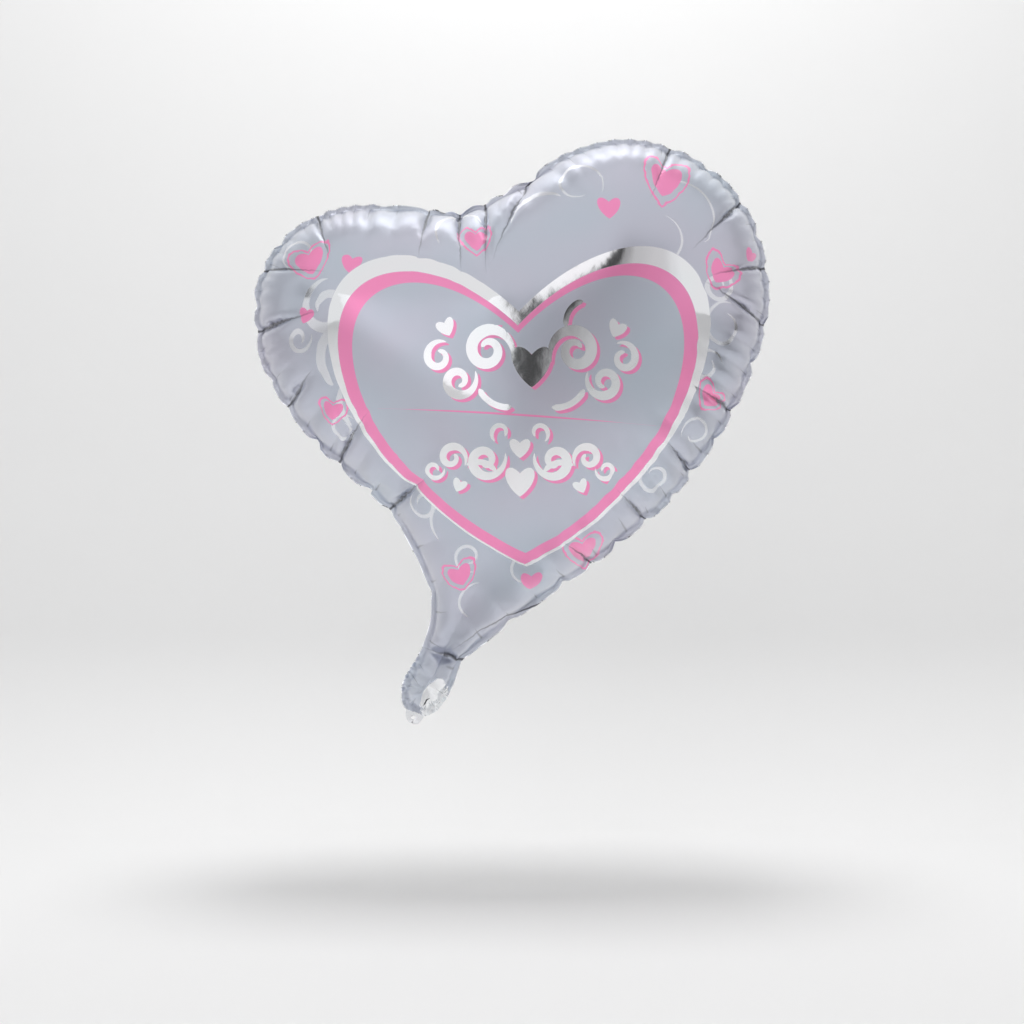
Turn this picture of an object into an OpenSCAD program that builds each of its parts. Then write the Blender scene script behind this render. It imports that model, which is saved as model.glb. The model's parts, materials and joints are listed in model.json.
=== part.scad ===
// Heart-shaped foil balloon with a curved tail, inflated.
// Two film panels are welded together round the edge. The tail carries the inlet slit, the
// self-sealing valve and a small tab with the tie hole.
// +Z is up, -Y is the printed front, and the origin is the centre of the tie hole.

/* [Balloon] */
// Width of the inflated balloon over the weld
balloon_w = 376; // [310:1:460]
// Height of the inflated balloon, from the lobes to the tip of the tab
balloon_h = 427; // [350:1:520]
// Half of the inflated depth at the middle of the heart
heart_half_depth = 92; // [50:1:100]
// Half of the inflated depth in the middle of the tail tube
tail_half_depth = 14; // [10:0.5:18]

/* [Film] */
// Thickness of one film panel
film_t = 0.8; // [0.4:0.1:1.2]
// Width of the flat weld band round the edge
weld_w = 5; // [3:0.5:8]
// Thickness of one film in the weld band
weld_ply_t = 0.4; // [0.2:0.1:0.6]

/* [Tail and tab] */
// Largest angle that the tail bends each way at its crease, in degrees
tail_bend_max = 30; // [10:5:35]
// Gap between the two sides of the tail crease
crease_gap = 0.3; // [0.2:0.05:0.6]
// Gap above the tab, past the thickness of one film, so that it folds flat either way
fold_gap = 0.5; // [0.4:0.05:0.8]
// Radius of the tie hole
tie_hole_r = 1.5; // [1:0.1:2]

/* [Inlet and valve] */
// Length of the inlet slit in the front film of the tail
inlet_len = 9; // [6:0.5:11]
// Width that the inlet slit gapes
inlet_gap = 1.2; // [0.6:0.1:2]
// Distance from the upper ends of the valve plies to the tail crease
ply_end_gap = 2; // [1.5:0.5:8]
// Distance from the sides of the valve plies to the tail film, at the crease
ply_side_gap = 2.7; // [2:0.1:4]
// Thickness of one valve ply
ply_t = 0.4; // [0.2:0.1:0.6]
// Gap between the two valve plies
ply_gap = 0.3; // [0.2:0.05:0.5]

/* [Hidden] */

// Colours of the two film faces, the clear valve film and the tab
ink_grey = [0.69, 0.72, 0.78];
plain_silver = [0.78, 0.79, 0.81];
valve_film = [0.88, 0.89, 0.92];

// How many steps the curves take between two outline points, and from the weld to the middle
outline_steps = 3;
dome_steps = 9;
// How square the cross-section is: 2 is an ellipse
dome_power = 2.15;

// The outlines below are drawn for a balloon of this width and height
drawn_w = 376;
drawn_h = 427;

// Edge of the weld from the crease upwards, [x, z]. The two sides run in pairs, and the last
// pair's middle is the point that the rows of the two lobes run to.
heart_right_side = [[36, 41], [57, 59], [87, 80], [121, 104], [156, 131], [191, 162],
                    [221, 202], [244, 245]];
heart_left_side = [[7, 51], [14, 74], [8, 103], [-14, 144], [-46, 176], [-74, 203],
                   [-98, 234], [-113, 268]];
// Edge round the two lobes, from the last right point to the last left point
heart_lobes = [[259, 296], [254, 347], [233, 386], [197, 412], [154, 422], [113, 412], [77, 389],
               [37, 371], [-8, 373], [-52, 372], [-91, 353], [-114, 316]];
// Share of heart_half_depth at each pair
heart_depths = [0.15, 0.27, 0.42, 0.62, 0.78, 0.9, 0.97, 1];

// Edge of the tail from the crease downwards, in pairs, and round its welded end
tail_left_side = [[7, 51], [-2, 37], [-8, 26]];
tail_right_side = [[36, 41], [31, 28], [27, 19]];
tail_end = [[-9, 14], [-7.2, 7.4], [-1.3, 4.2], [3.5, 2.4], [9, 1.2], [15, 3.2], [21.5, 10]];
// Share of tail_half_depth at each pair
tail_depths = [0.86, 1, 0.95];

// The crease runs from the first left point to the first right point
crease_left = sized(heart_left_side[0]);
crease_right = sized(heart_right_side[0]);
crease_mid = (crease_left + crease_right) / 2;
crease_dir = unit(crease_right - crease_left);
// Unit vector across the crease, from the heart into the tail
down_tail = [crease_dir[1], -crease_dir[0]];
// Half of the wedge that is left open at the crease, in degrees
crease_wedge = tail_bend_max / 2 + 1;

// The fold of the tab, and the tab's own edge below it
fold_left = sized([-5.4, 5.7]);
fold_right = sized([7.6, 0.9]);
tab_edge = sized([[6.5, -1.6], [3.4, -4.5], [0, -4.6], [-3, -3.4], [-4.9, -1], [-5.6, 2]]);
fold_dir = unit(fold_right - fold_left);
tab_down = [fold_dir[1], -fold_dir[0]];
// Distance from the fold to the top edge of the tab
tab_top = weld_ply_t + fold_gap;

// The inlet slit: its middle, and its angle from +X in the plane of the weld
inlet_mid = sized([10.5, 12.5]);
inlet_angle = 43;

// The valve's mouth is above the inlet slit, and its plies run from there to the crease
ply_start = sized([8.8, 16]);
ply_dir = unit(crease_mid - ply_start);
ply_across = [ply_dir[1], -ply_dir[0]];
ply_len = norm(crease_mid - ply_start) - ply_end_gap;
ply_w = norm(crease_right - crease_left) - 2 * (weld_w + film_t + ply_side_gap);

function unit(v) = v / norm(v);

// A point of the drawn outlines, or a list of them, at the balloon's own size
function sized(p) =
  is_list(p[0]) ? [for (q = p) sized(q)] : [p[0] * balloon_w / drawn_w, p[1] * balloon_h / drawn_h];

// Catmull-Rom curve through p, with outline_steps steps between two points
function curve_at(p, k, t) =
  let (a = p[max(k - 1, 0)],
       b = p[k],
       c = p[min(k + 1, len(p) - 1)],
       d = p[min(k + 2, len(p) - 1)])
  0.5 * (2 * b + (c - a) * t + (2 * a - 5 * b + 4 * c - d) * t * t
         + (3 * b - a - 3 * c + d) * t * t * t);

function curve(p) = [
  for (k = [0:len(p) - 2]) for (s = [0:outline_steps - 1]) curve_at(p, k, s / outline_steps),
  p[len(p) - 1]
];

function reversed(list) = [for (i = [len(list) - 1:-1:0]) list[i]];

// Point on the edge moved inwards by w, towards the middle line of its row
function inset(edge, middle, tangent, w) =
  let (across = unit(middle - edge), inward = [-tangent[1], tangent[0]])
  edge + across * w / max(0.6, across * inward);

// One film panel between a crease at its two ends and a welded edge. side_a and side_b are the
// paired edges from the crease, side_a first in the counter-clockwise order seen from the front,
// and fan is the edge between their last points. depths has a half-depth for each pair. The
// outside swells towards -Y, and the ends lie on the slanted faces of the crease.
module film_panel(side_a, side_b, fan, depths, away) {
  edge = curve(concat(side_a, fan, reversed(side_b)));
  last = len(edge) - 1;
  paired = (len(side_a) - 1) * outline_steps;
  depth = curve(depths);
  row = [for (i = [0:last]) min(i, last - i, paired)];
  middle = [for (i = [0:last]) (edge[row[i]] + edge[last - row[i]]) / 2];
  tangent = [for (i = [0:last]) unit(edge[min(i + 1, last)] - edge[max(i - 1, 0)])];
  root = [for (i = [0:last]) inset(edge[i], middle[i], tangent[i], weld_w)];
  inner_root = [for (i = [0:last]) inset(edge[i], middle[i], tangent[i], weld_w + film_t)];

  // Share of the way to the middle, and of the depth, at dome step j
  function across(j) = 1 - pow(cos(90 * j / dome_steps), 2 / dome_power);
  function swell(j) = pow(sin(90 * j / dome_steps), 2 / dome_power);
  // The points of the first and last row slide back along the slanted face of the crease
  function placed(i, p, y) =
    let (at_crease = i == 0 || i == last,
         slide = at_crease ? crease_gap / 2 + abs(y) * tan(crease_wedge) : 0,
         q = p + slide * away)
    [q[0], y, q[1]];
  function outside(i, j) =
    let (t = weld_ply_t, h = depth[row[i]])
    j == 0 ? placed(i, edge[i], -t)
    : placed(i, root[i] + (middle[i] - root[i]) * across(j - 1), -t - (h - t) * swell(j - 1));
  function inside(i, j) =
    let (h = depth[row[i]] - film_t)
    j == 0 ? placed(i, edge[i], 0)
    : placed(i, inner_root[i] + (middle[i] - inner_root[i]) * across(j - 1), -h * swell(j - 1));

  cols = dome_steps + 2;
  sheet = (last + 1) * cols;
  points = concat(
    [for (i = [0:last]) for (j = [0:cols - 1]) outside(i, j)],
    [for (i = [0:last]) for (j = [0:cols - 1]) inside(i, j)]
  );
  // Both halves of a row, and all rows of the fan, share their middle point
  function out_id(i, j) = (j < cols - 1 ? i : row[i]) * cols + j;
  function in_id(i, j) = sheet + out_id(i, j);

  quads = concat(
    [for (i = [0:last - 1]) for (j = [0:cols - 2])
      [out_id(i, j), out_id(i, j + 1), out_id(i + 1, j + 1), out_id(i + 1, j)]],
    [for (i = [0:last - 1]) for (j = [0:cols - 2])
      [in_id(i, j), in_id(i + 1, j), in_id(i + 1, j + 1), in_id(i, j + 1)]],
    [for (i = [0:last - 1]) [out_id(i, 0), out_id(i + 1, 0), in_id(i + 1, 0), in_id(i, 0)]],
    [for (j = [0:cols - 2]) [out_id(0, j), in_id(0, j), in_id(0, j + 1), out_id(0, j + 1)]],
    [for (j = [0:cols - 2])
      [out_id(last, j), out_id(last, j + 1), in_id(last, j + 1), in_id(last, j)]]
  );
  triangles = [for (q = quads) for (t = [[q[0], q[1], q[2]], [q[0], q[2], q[3]]])
    if (t[0] != t[1] && t[1] != t[2] && t[2] != t[0]) t];
  polyhedron(points, triangles);
}

module heart_film() {
  film_panel(
    side_a = sized(heart_right_side),
    side_b = sized(heart_left_side),
    fan = sized(heart_lobes),
    depths = heart_half_depth * heart_depths,
    away = -down_tail
  );
}

module tail_film() {
  film_panel(
    side_a = sized(tail_left_side),
    side_b = sized(tail_right_side),
    fan = sized(tail_end),
    depths = tail_half_depth * tail_depths,
    away = down_tail
  );
}

module mirrored_back() {
  mirror([0, 1, 0]) children();
}

// Flat plate in the plane of the weld, from y0 to y1
module plate(y0, y1) {
  translate([0, y1, 0]) rotate([90, 0, 0]) linear_extrude(y1 - y0) children();
}

module front_panel() {
  color(ink_grey) heart_film();
}

module back_panel() {
  color(plain_silver) mirrored_back() heart_film();
}

module tail_front() {
  color(ink_grey) difference() {
    tail_film();
    plate(-2 * tail_half_depth, -weld_ply_t)
      translate(inlet_mid) rotate(inlet_angle) square([inlet_len, inlet_gap], center = true);
  }
}

module tail_back() {
  color(plain_silver) mirrored_back() tail_film();
}

// Both films fused, below the fold
module tie_tab() {
  color(plain_silver) difference() {
    plate(-weld_ply_t, weld_ply_t) polygon(concat(
      [fold_left + tab_top * tab_down, fold_right + tab_top * tab_down], tab_edge));
    rotate([90, 0, 0]) cylinder(h = 4 * weld_ply_t, r = tie_hole_r, center = true, $fn = 48);
  }
}

module ply_outline() {
  corners = [[0, -1], [0, 1], [1, 1], [1, -1]];
  polygon([for (c = corners) ply_start + c[0] * ply_len * ply_dir + c[1] * ply_w / 2 * ply_across]);
}

module valve_front_ply() {
  color(valve_film) plate(-ply_gap / 2 - ply_t, -ply_gap / 2) ply_outline();
}

module valve_rear_ply() {
  color(valve_film) plate(ply_gap / 2, ply_gap / 2 + ply_t) ply_outline();
}

front_panel();
back_panel();
tail_front();
tail_back();
tie_tab();
valve_front_ply();
valve_rear_ply();
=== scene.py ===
"""Heart-shaped foil balloon: two welded films, a tie tab and a clear valve, in a plain studio.

The films start as a flat, welded envelope and are inflated by a cloth simulation. Lengths are in
metres, in the frame of the CAD model: +Z up, -Y out of the printed front, origin in the tie hole.
"""

import json
import math

import bpy
import numpy as np
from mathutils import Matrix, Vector, geometry


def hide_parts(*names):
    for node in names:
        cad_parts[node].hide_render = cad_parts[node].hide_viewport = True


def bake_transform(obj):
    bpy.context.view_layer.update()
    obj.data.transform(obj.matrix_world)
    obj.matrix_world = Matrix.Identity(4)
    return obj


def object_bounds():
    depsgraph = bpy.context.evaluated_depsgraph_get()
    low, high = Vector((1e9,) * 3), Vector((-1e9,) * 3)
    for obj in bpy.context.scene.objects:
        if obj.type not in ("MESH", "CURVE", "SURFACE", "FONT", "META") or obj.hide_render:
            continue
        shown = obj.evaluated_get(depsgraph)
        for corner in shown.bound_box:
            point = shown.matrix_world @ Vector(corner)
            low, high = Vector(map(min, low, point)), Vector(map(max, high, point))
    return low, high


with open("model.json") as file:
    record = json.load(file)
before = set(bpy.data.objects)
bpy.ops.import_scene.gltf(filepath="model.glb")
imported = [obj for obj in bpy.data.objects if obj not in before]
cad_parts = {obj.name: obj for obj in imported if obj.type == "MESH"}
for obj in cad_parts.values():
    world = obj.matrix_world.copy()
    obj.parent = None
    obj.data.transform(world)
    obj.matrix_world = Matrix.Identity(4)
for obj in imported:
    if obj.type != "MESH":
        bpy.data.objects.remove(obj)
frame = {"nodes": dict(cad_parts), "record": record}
CAD_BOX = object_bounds()

bl_info = {
    "name": "Heart Foil Balloon",
    "version": (1, 0, 0),
    "blender": (4, 5, 0),
    "location": "3D View > Sidebar > Balloon",
    "description": "Inflates a heart-shaped foil balloon round its CAD frame, and sets up a studio",
    "category": "Add Mesh",
}

MM = 0.001

# The edge of the welded films, [x, z] in millimetres, counter-clockwise seen from the front:
# down the left of the tail, round its end, up the right, over the two lobes and down the left
OUTLINE = np.array([
    [7, 51], [-2, 37], [-8, 26], [-9, 14], [-7.2, 7.4], [-1.3, 4.2], [3.5, 2.4], [9, 1.2],
    [15, 3.2], [21.5, 10], [27, 19], [31, 28], [36, 41], [57, 59], [87, 80], [121, 104],
    [156, 131], [191, 162], [221, 202], [244, 245], [259, 296], [254, 347], [233, 386],
    [197, 412], [154, 422], [113, 412], [77, 389], [37, 371], [-8, 373], [-52, 372],
    [-91, 353], [-114, 316], [-113, 268], [-98, 234], [-74, 203], [-46, 176], [-14, 144],
    [8, 103], [14, 74],
]) * MM

# The tab below the fold, from the fold's left end over its right end and round the tip
TAB_FOLD = np.array([[-5.4, 5.7], [7.6, 0.9]]) * MM
TAB_EDGE = np.array([[6.5, -1.6], [3.4, -4.5], [0, -4.6], [-3, -3.4], [-4.9, -1],
                     [-5.6, 2]]) * MM

# Long creases of the front film: x and z at the edge, x and z at the inner end, depth, in mm
FRONT_CREASES = [
    (12, 374, 10, 345, 5), (33, 374, 36, 338, 6), (52, 378, 54, 340, 6), (85, 396, 70, 352, 7),
    (-70, 366, -60, 342, 5), (-118, 328, -80, 321, 6), (-116, 281, -74, 287, 7),
    (-92, 226, -66, 250, 6), (-57, 184, -24, 222, 7), (-20, 149, 14, 176, 6),
    (188, 417, 176, 388, 5), (240, 376, 214, 350, 6), (258, 328, 228, 320, 6),
    (256, 286, 218, 304, 6), (236, 222, 196, 240, 7), (206, 178, 178, 202, 6),
    (172, 142, 144, 168, 6), (132, 110, 108, 130, 5), (100, 86, 28, 50, 5), (38, 42, 6, 51, 4),
]
# The back film's own creases
BACK_CREASES = [
    (22, 374, 24, 340, 6), (66, 384, 60, 345, 6), (-100, 348, -72, 330, 6),
    (-118, 300, -78, 300, 7), (-104, 246, -72, 262, 6), (-72, 200, -42, 232, 7),
    (-36, 166, -4, 194, 6), (12, 92, 30, 108, 4), (216, 402, 196, 374, 6),
    (252, 352, 222, 336, 6), (250, 258, 212, 266, 7), (222, 202, 188, 222, 6),
    (190, 160, 162, 186, 6), (150, 124, 124, 148, 6), (112, 96, 86, 116, 5),
    (72, 68, 56, 86, 4),
]


# The inlet slit's middle in metres and its lean, in the front view
SLIT_MIDDLE = (0.0105, 0.0125)
SLIT_LEAN = math.radians(43)
# Where the films are drawn in beside the tail's crease: metres below it, share of the depth, half
# width in metres, and the power that sets how sharp it is
PINCHES = ((0, 0.58, 0.0045, 1.4), (-0.012, 0.14, 0.003, 2), (0.010, 0.12, 0.003, 2))
# How much of a crease's depth is the sharp fold in its bottom
FOLD_SHARE = 0.62


def joint_place(name):
    """Point on a joint's axis, in the frame's metres."""
    found = next(joint for joint in frame["record"]["behaviour"]["joints"] if joint["name"] == name)
    return np.array(found["pos_m"], float)


class BalloonSizes(bpy.types.PropertyGroup):
    """Sizes of the films, and how finely they are meshed."""
    flat_width: bpy.props.FloatProperty(
        name="Flat Width", description="Width of a film before inflating", default=0.459,
        unit="LENGTH")
    flat_height: bpy.props.FloatProperty(
        name="Flat Height", description="Height of a film before inflating, tail included",
        default=0.492, unit="LENGTH")
    weld: bpy.props.FloatProperty(
        name="Weld Width", description="Width of the flat band round the edge", default=0.005,
        unit="LENGTH")
    edge_step: bpy.props.FloatProperty(
        name="Edge Step", description="Mesh spacing along the weld", default=0.0024,
        unit="LENGTH")
    middle_step: bpy.props.FloatProperty(
        name="Middle Step", description="Mesh spacing in the middle of the heart",
        default=0.0066, unit="LENGTH")
    fine_band: bpy.props.FloatProperty(
        name="Fine Band", description="Width of the finely meshed band inside the weld",
        default=0.045, unit="LENGTH")
    ripple: bpy.props.FloatProperty(
        name="Edge Ripple", description="Height of the ripples along the weld", default=0.0026,
        unit="LENGTH")
    short_wave: bpy.props.FloatProperty(
        name="Short Ripple", description="Length of a ripple where the edge is round",
        default=0.0115, unit="LENGTH")
    long_wave: bpy.props.FloatProperty(
        name="Long Ripple", description="Length of a ripple where the edge is straight",
        default=0.023, unit="LENGTH")
    slit_length: bpy.props.FloatProperty(
        name="Slit Length", description="Length of the inlet slit", default=0.009,
        unit="LENGTH")
    slit_gap: bpy.props.FloatProperty(
        name="Slit Gap", description="Width that the inlet slit gapes", default=0.0016,
        unit="LENGTH")
    tab_thickness: bpy.props.FloatProperty(
        name="Tab Thickness", description="Thickness of the fused films of the tab",
        default=0.0003, unit="LENGTH")


class BalloonColours(bpy.types.PropertyGroup):
    """Colours of the inks, the bare foil and the stage."""
    grey: bpy.props.FloatVectorProperty(
        name="Satin Grey", description="Grey ink on the foil", subtype="COLOR",
        default=(0.555, 0.578, 0.652))
    pink: bpy.props.FloatVectorProperty(
        name="Pink", description="Pink ink on the foil", subtype="COLOR",
        default=(0.96, 0.31, 0.56))
    foil: bpy.props.FloatVectorProperty(
        name="Bare Foil", description="Foil without ink", subtype="COLOR",
        default=(0.90, 0.905, 0.92))
    valve: bpy.props.FloatVectorProperty(
        name="Valve Film", description="Clear film of the valve", subtype="COLOR",
        default=(0.86, 0.88, 0.92))
    backdrop: bpy.props.FloatVectorProperty(
        name="Backdrop", description="Floor and wall", subtype="COLOR",
        default=(0.82, 0.82, 0.82))


class BalloonStage(bpy.types.PropertyGroup):
    """Where the camera and the stage are."""
    aim_x: bpy.props.FloatProperty(
        name="Aim X", description="Sideways place that the camera looks at", default=0.072,
        unit="LENGTH")
    aim_z: bpy.props.FloatProperty(
        name="Aim Z", description="Height of the level camera", default=0.150, unit="LENGTH")
    distance: bpy.props.FloatProperty(
        name="Distance", description="Distance of the camera from the weld", default=1.6,
        unit="LENGTH")
    view_width: bpy.props.FloatProperty(
        name="View Width", description="Width of the view at the weld", default=0.747,
        unit="LENGTH")
    floor_z: bpy.props.FloatProperty(
        name="Floor Height", description="Height of the floor", default=-0.122, unit="LENGTH")
    wall_y: bpy.props.FloatProperty(
        name="Wall", description="Distance of the wall behind the weld", default=0.42,
        unit="LENGTH")


# ---------------------------------------------------------------- curves and flat patterns

def smooth_step(low, high, value):
    """0 below low, 1 above high, and 3t^2 - 2t^3 in between."""
    t = np.clip((value - low) / (high - low), 0, 1)
    return t * t * (3 - 2 * t)


def closed_curve(points, steps=24):
    """Closed Catmull-Rom curve: a cubic between each two points, with the slope there half the
    way from the point before to the point after."""
    a, b, c, d = [np.roll(points, shift, 0)[:, None, :] for shift in (1, 0, -1, -2)]
    t = np.linspace(0, 1, steps, endpoint=False)[None, :, None]
    curve = 0.5 * (2 * b + (c - a) * t + (2 * a - 5 * b + 4 * c - d) * t ** 2
                   + (3 * b - a - 3 * c + d) * t ** 3)
    return curve.reshape(-1, points.shape[1])


def travelled(line):
    """Distance along a closed line to each of its points, and back to the first."""
    steps = np.linalg.norm(np.roll(line, -1, 0) - line, axis=1)
    return np.r_[0, np.cumsum(steps)]


def on_line(line, place):
    """Points of a closed line at fractional indices."""
    low = np.floor(place).astype(int) % len(line)
    share = (place - np.floor(place))[:, None]
    return line[low] * (1 - share) + line[(low + 1) % len(line)] * share


def inward(line):
    """Unit vectors at right angles to a counter-clockwise closed line, to its inside."""
    along = np.roll(line, -1, 0) - np.roll(line, 1, 0)
    along /= np.linalg.norm(along, axis=1)[:, None]
    return np.stack([-along[:, 1], along[:, 0]], 1)


def is_inside(line, points):
    """Even-odd rule: a point is inside if a ray from it crosses the line an odd number of times."""
    x, y = points[:, :1], points[:, 1:]
    after = np.roll(line, -1, 0)
    crosses = (line[:, 1][None] > y) != (after[:, 1][None] > y)
    rise = np.where(after[:, 1] == line[:, 1], 1e-12, after[:, 1] - line[:, 1])[None]
    at_x = (after[:, 0] - line[:, 0])[None] * (y - line[:, 1][None]) / rise + line[:, 0][None]
    return (crosses & (x < at_x)).sum(1) % 2 == 1


def gap_to(line, points, chunk=1500):
    """Distance from points to a closed line, and the fractional index of the nearest place."""
    step = (np.roll(line, -1, 0) - line)[None]
    square = (step ** 2).sum(2)
    found, index = [], []
    for start in range(0, len(points), chunk):
        away = points[start:start + chunk, None, :] - line[None]
        t = np.clip((away * step).sum(2) / square, 0, 1)
        gap = np.linalg.norm(away - t[..., None] * step, axis=2)
        best = gap.argmin(1)
        rows = np.arange(len(best))
        found.append(gap[rows, best])
        index.append(best + t[rows, best])
    return np.concatenate(found), np.concatenate(index)


def carried(line, values, points, chunk=1000):
    """Mean value coordinates: values on a closed line, carried smoothly to the points inside.
    A corner's weight is the sum of the tangents of half the two angles beside it, seen from the
    point, over its distance."""
    out = []
    for start in range(0, len(points), chunk):
        away = line[None] - points[start:start + chunk, None]
        far = np.linalg.norm(away, axis=2)
        after = np.roll(away, -1, 1)
        cross = away[..., 0] * after[..., 1] - away[..., 1] * after[..., 0]
        half = cross / (far * np.roll(far, -1, 1) + (away * after).sum(2) + 1e-12)
        weight = (half + np.roll(half, 1, 1)) / np.maximum(far, 1e-9)
        out.append(weight @ values / weight.sum(1)[:, None])
    return np.concatenate(out)


def flattened(points, sizes):
    """Where points of the inflated front view lie on the flat film. Over the heart both
    directions grow by the flat film's share; in the tail, a round tube, the direction across
    grows by half of pi. The two blend above the crease."""
    crease = joint_place("tail_bend")[[0, 2]]
    low, high = OUTLINE.min(0), OUTLINE.max(0)
    below = crease[1] - low[1]
    growth = np.array([sizes.flat_width / (high[0] - low[0]),
                       (sizes.flat_height - below) / (high[1] - crease[1])])
    heart = (points - crease) * growth + crease
    across = tail_across()
    away = points - crease
    tube = points + (away @ across)[:, None] * across * (math.pi / 2 - 1)
    up = away @ np.array([-across[1], across[0]])
    weight = smooth_step(-0.01, 0.11, up)[:, None]
    return heart * weight + tube * (1 - weight)


def tail_across():
    """Unit vector along the tail's crease, in the plane of the weld."""
    found = next(j for j in frame["record"]["behaviour"]["joints"] if j["name"] == "tail_bend")
    axis = np.array(found["axis"], float)[[0, 2]]
    return axis / np.linalg.norm(axis)


def slit_shape(sizes):
    """Outline of the gaping inlet slit in the front view: a lens, with half its gap times the
    sine of the way along it on each side."""
    count = 7
    t = np.linspace(0, 1, count)
    lower = np.stack([t - 0.5, np.zeros(count)], 1) * sizes.slit_length
    lower[:, 1] = -np.sin(np.pi * t) * sizes.slit_gap / 2
    upper = (lower * [1, -1])[-2:0:-1]
    cosine, sine = math.cos(SLIT_LEAN), math.sin(SLIT_LEAN)
    return np.r_[lower, upper] @ np.array([[cosine, sine], [-sine, cosine]]) + SLIT_MIDDLE


# ---------------------------------------------------------------- the envelope

def beside(points, start, end):
    """Where points are by a line: the share of the way along it, and the distance aside of it,
    above 0 on its left."""
    step = end - start
    t = (points - start) @ step / (step @ step)
    return t, (points - start) @ np.array([-step[1], step[0]]) / np.linalg.norm(step)


def crease_line(crease, sizes):
    """Ends of a crease on the flat film. Over the lobes the films are steep beside the weld, so
    a crease there is longer than it looks from the front; lower down it is not."""
    x0, z0, x1, z1, _ = crease
    start, end = flattened(np.array([[x0, z0], [x1, z1]]) * MM, sizes)
    growth = 1 + 0.75 * smooth_step(200, 360, z0)
    return start, start + (end - start) * growth


def crease_points(crease, sizes, step=0.0022, aside=0.0015):
    """Three rows of points along a crease, on the flat film, so that it can be sharp."""
    start, end = crease_line(crease, sizes)
    along = end - start
    length = np.linalg.norm(along)
    side = np.array([-along[1], along[0]]) / length
    t = np.arange(0.5 * step, length, step)[:, None] / length
    rows = [start + t * along + side * aside * k for k in (0, -1, 1)]
    return np.concatenate(rows)


def film_lattice(flat, slit, sizes):
    """Points of a flat film: one ring on the weld line, rows along the creases, rings inside the
    weld that grow coarser, and a lattice of triangles in the middle. Points too near an earlier
    one are dropped. Returns the points with the weld ring first and the slit's points after it,
    the number in the ring, its outer edge and its places on the outline."""
    far = travelled(flat)
    total = far[-1]
    count = int(round(total / sizes.edge_step))
    steps = np.arange(len(flat) + 1)
    place = np.interp(np.linspace(0, total, count, endpoint=False), far, steps)
    outer = on_line(flat, place)
    weld = outer + sizes.weld * inward(outer)
    layers = [(crease_points(crease, sizes), 0.0018, 0.0019)
              for crease in FRONT_CREASES + BACK_CREASES]
    gap = sizes.edge_step * 0.9
    space = sizes.edge_step
    row = 0
    while gap < sizes.fine_band:
        number = int(round(total / space))
        at = (np.linspace(0, total, number, endpoint=False) + (row % 2) * 0.5 * space) % total
        at = np.interp(at, far, steps)
        ring = on_line(flat, at) + (sizes.weld + gap) * on_line(inward(flat), at)
        layers.append((ring, gap, space))
        growth = (sizes.middle_step - sizes.edge_step) * (gap / sizes.fine_band) ** 1.5
        space = sizes.edge_step + growth
        gap += space * 0.87
        row += 1
    low, high = flat.min(0), flat.max(0)
    xs = np.arange(low[0], high[0], sizes.middle_step)
    ys = np.arange(low[1], high[1], sizes.middle_step * math.sqrt(3) / 2)
    x, y = np.meshgrid(xs, ys)
    x = x + (np.arange(len(ys)) % 2)[:, None] * sizes.middle_step / 2
    layers.append((np.stack([x.ravel(), y.ravel()], 1), sizes.fine_band, sizes.middle_step))
    kept = np.r_[weld, slit]
    for points, clear, space in layers:
        points = points[is_inside(weld, points)]
        points = points[gap_to(weld, points)[0] > clear * 0.93]
        near = np.ones(len(points), bool)
        for start in range(0, len(points), 1000):
            away = points[start:start + 1000, None] - kept[None]
            near[start:start + 1000] = (away ** 2).sum(2).min(1) > (0.62 * space) ** 2
        kept = np.r_[kept, points[near]]
    return kept, count, outer, place


def triangles_of(points, count, slit_count):
    """Delaunay triangles inside the weld ring that keep the ring's and the slit's edges, turned
    counter-clockwise."""
    ring = [(i, (i + 1) % count) for i in range(count)]
    lens = [(count + i, count + (i + 1) % slit_count) for i in range(slit_count)]
    made = geometry.delaunay_2d_cdt([Vector(p) for p in points], ring + lens, [], 1, 1e-8)
    points = np.array([p[:] for p in made[0]])
    faces = np.array(made[2])
    a, b, c = [points[faces[:, k]] for k in range(3)]
    turned = np.cross(b - a, c - a) < 0
    faces[turned] = faces[turned][:, ::-1]
    return points, faces


def ripples(line, sizes):
    """Ripples along the weld: a sine whose length goes from short where the edge is round
    outwards to long where it is straight, with a little drift, and whose height fades where the
    edge curves inwards. Returns the height, the phase, the length and the strength at each
    point of the line."""
    far = travelled(line)
    step = np.diff(far)
    along = np.roll(line, -1, 0) - line
    turn = np.unwrap(np.arctan2(along[:, 1], along[:, 0]))
    reach = max(3, int(0.022 / step.mean()))
    ahead = np.r_[turn, turn[:reach] + 2 * np.pi]
    behind = np.r_[turn[-reach:] - 2 * np.pi, turn]
    bend = (ahead[reach:] - behind[:-reach]) / (2 * reach * step.mean())
    roundness = smooth_step(2.0, 11.0, bend)
    wave = sizes.long_wave + (sizes.short_wave - sizes.long_wave) * roundness
    drift = soft_noise(len(line), 40, seed=5)
    phase = 2 * np.pi * np.cumsum(step / wave * (1 + 0.22 * drift))
    phase *= 2 * np.pi * round(phase[-1] / (2 * np.pi)) / phase[-1]
    fade = 0.12 + 0.88 * smooth_step(-9.0, 1.0, bend)
    strength = fade * (1 + 0.4 * soft_noise(len(line), 60, seed=8))
    height = sizes.ripple * np.sin(phase) * strength * (1 - 0.25 * roundness)
    return height, phase, wave, strength


def soft_noise(count, knots, seed):
    """Smooth closed noise between -1 and 1: seeded random knots joined by cosine steps."""
    values = np.random.default_rng(seed).uniform(-1, 1, knots)
    place = np.arange(count) / count * knots
    low = place.astype(int) % knots
    share = (1 - np.cos(np.pi * (place - place.astype(int)))) / 2
    return values[low] * (1 - share) + values[(low + 1) % knots] * share


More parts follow.
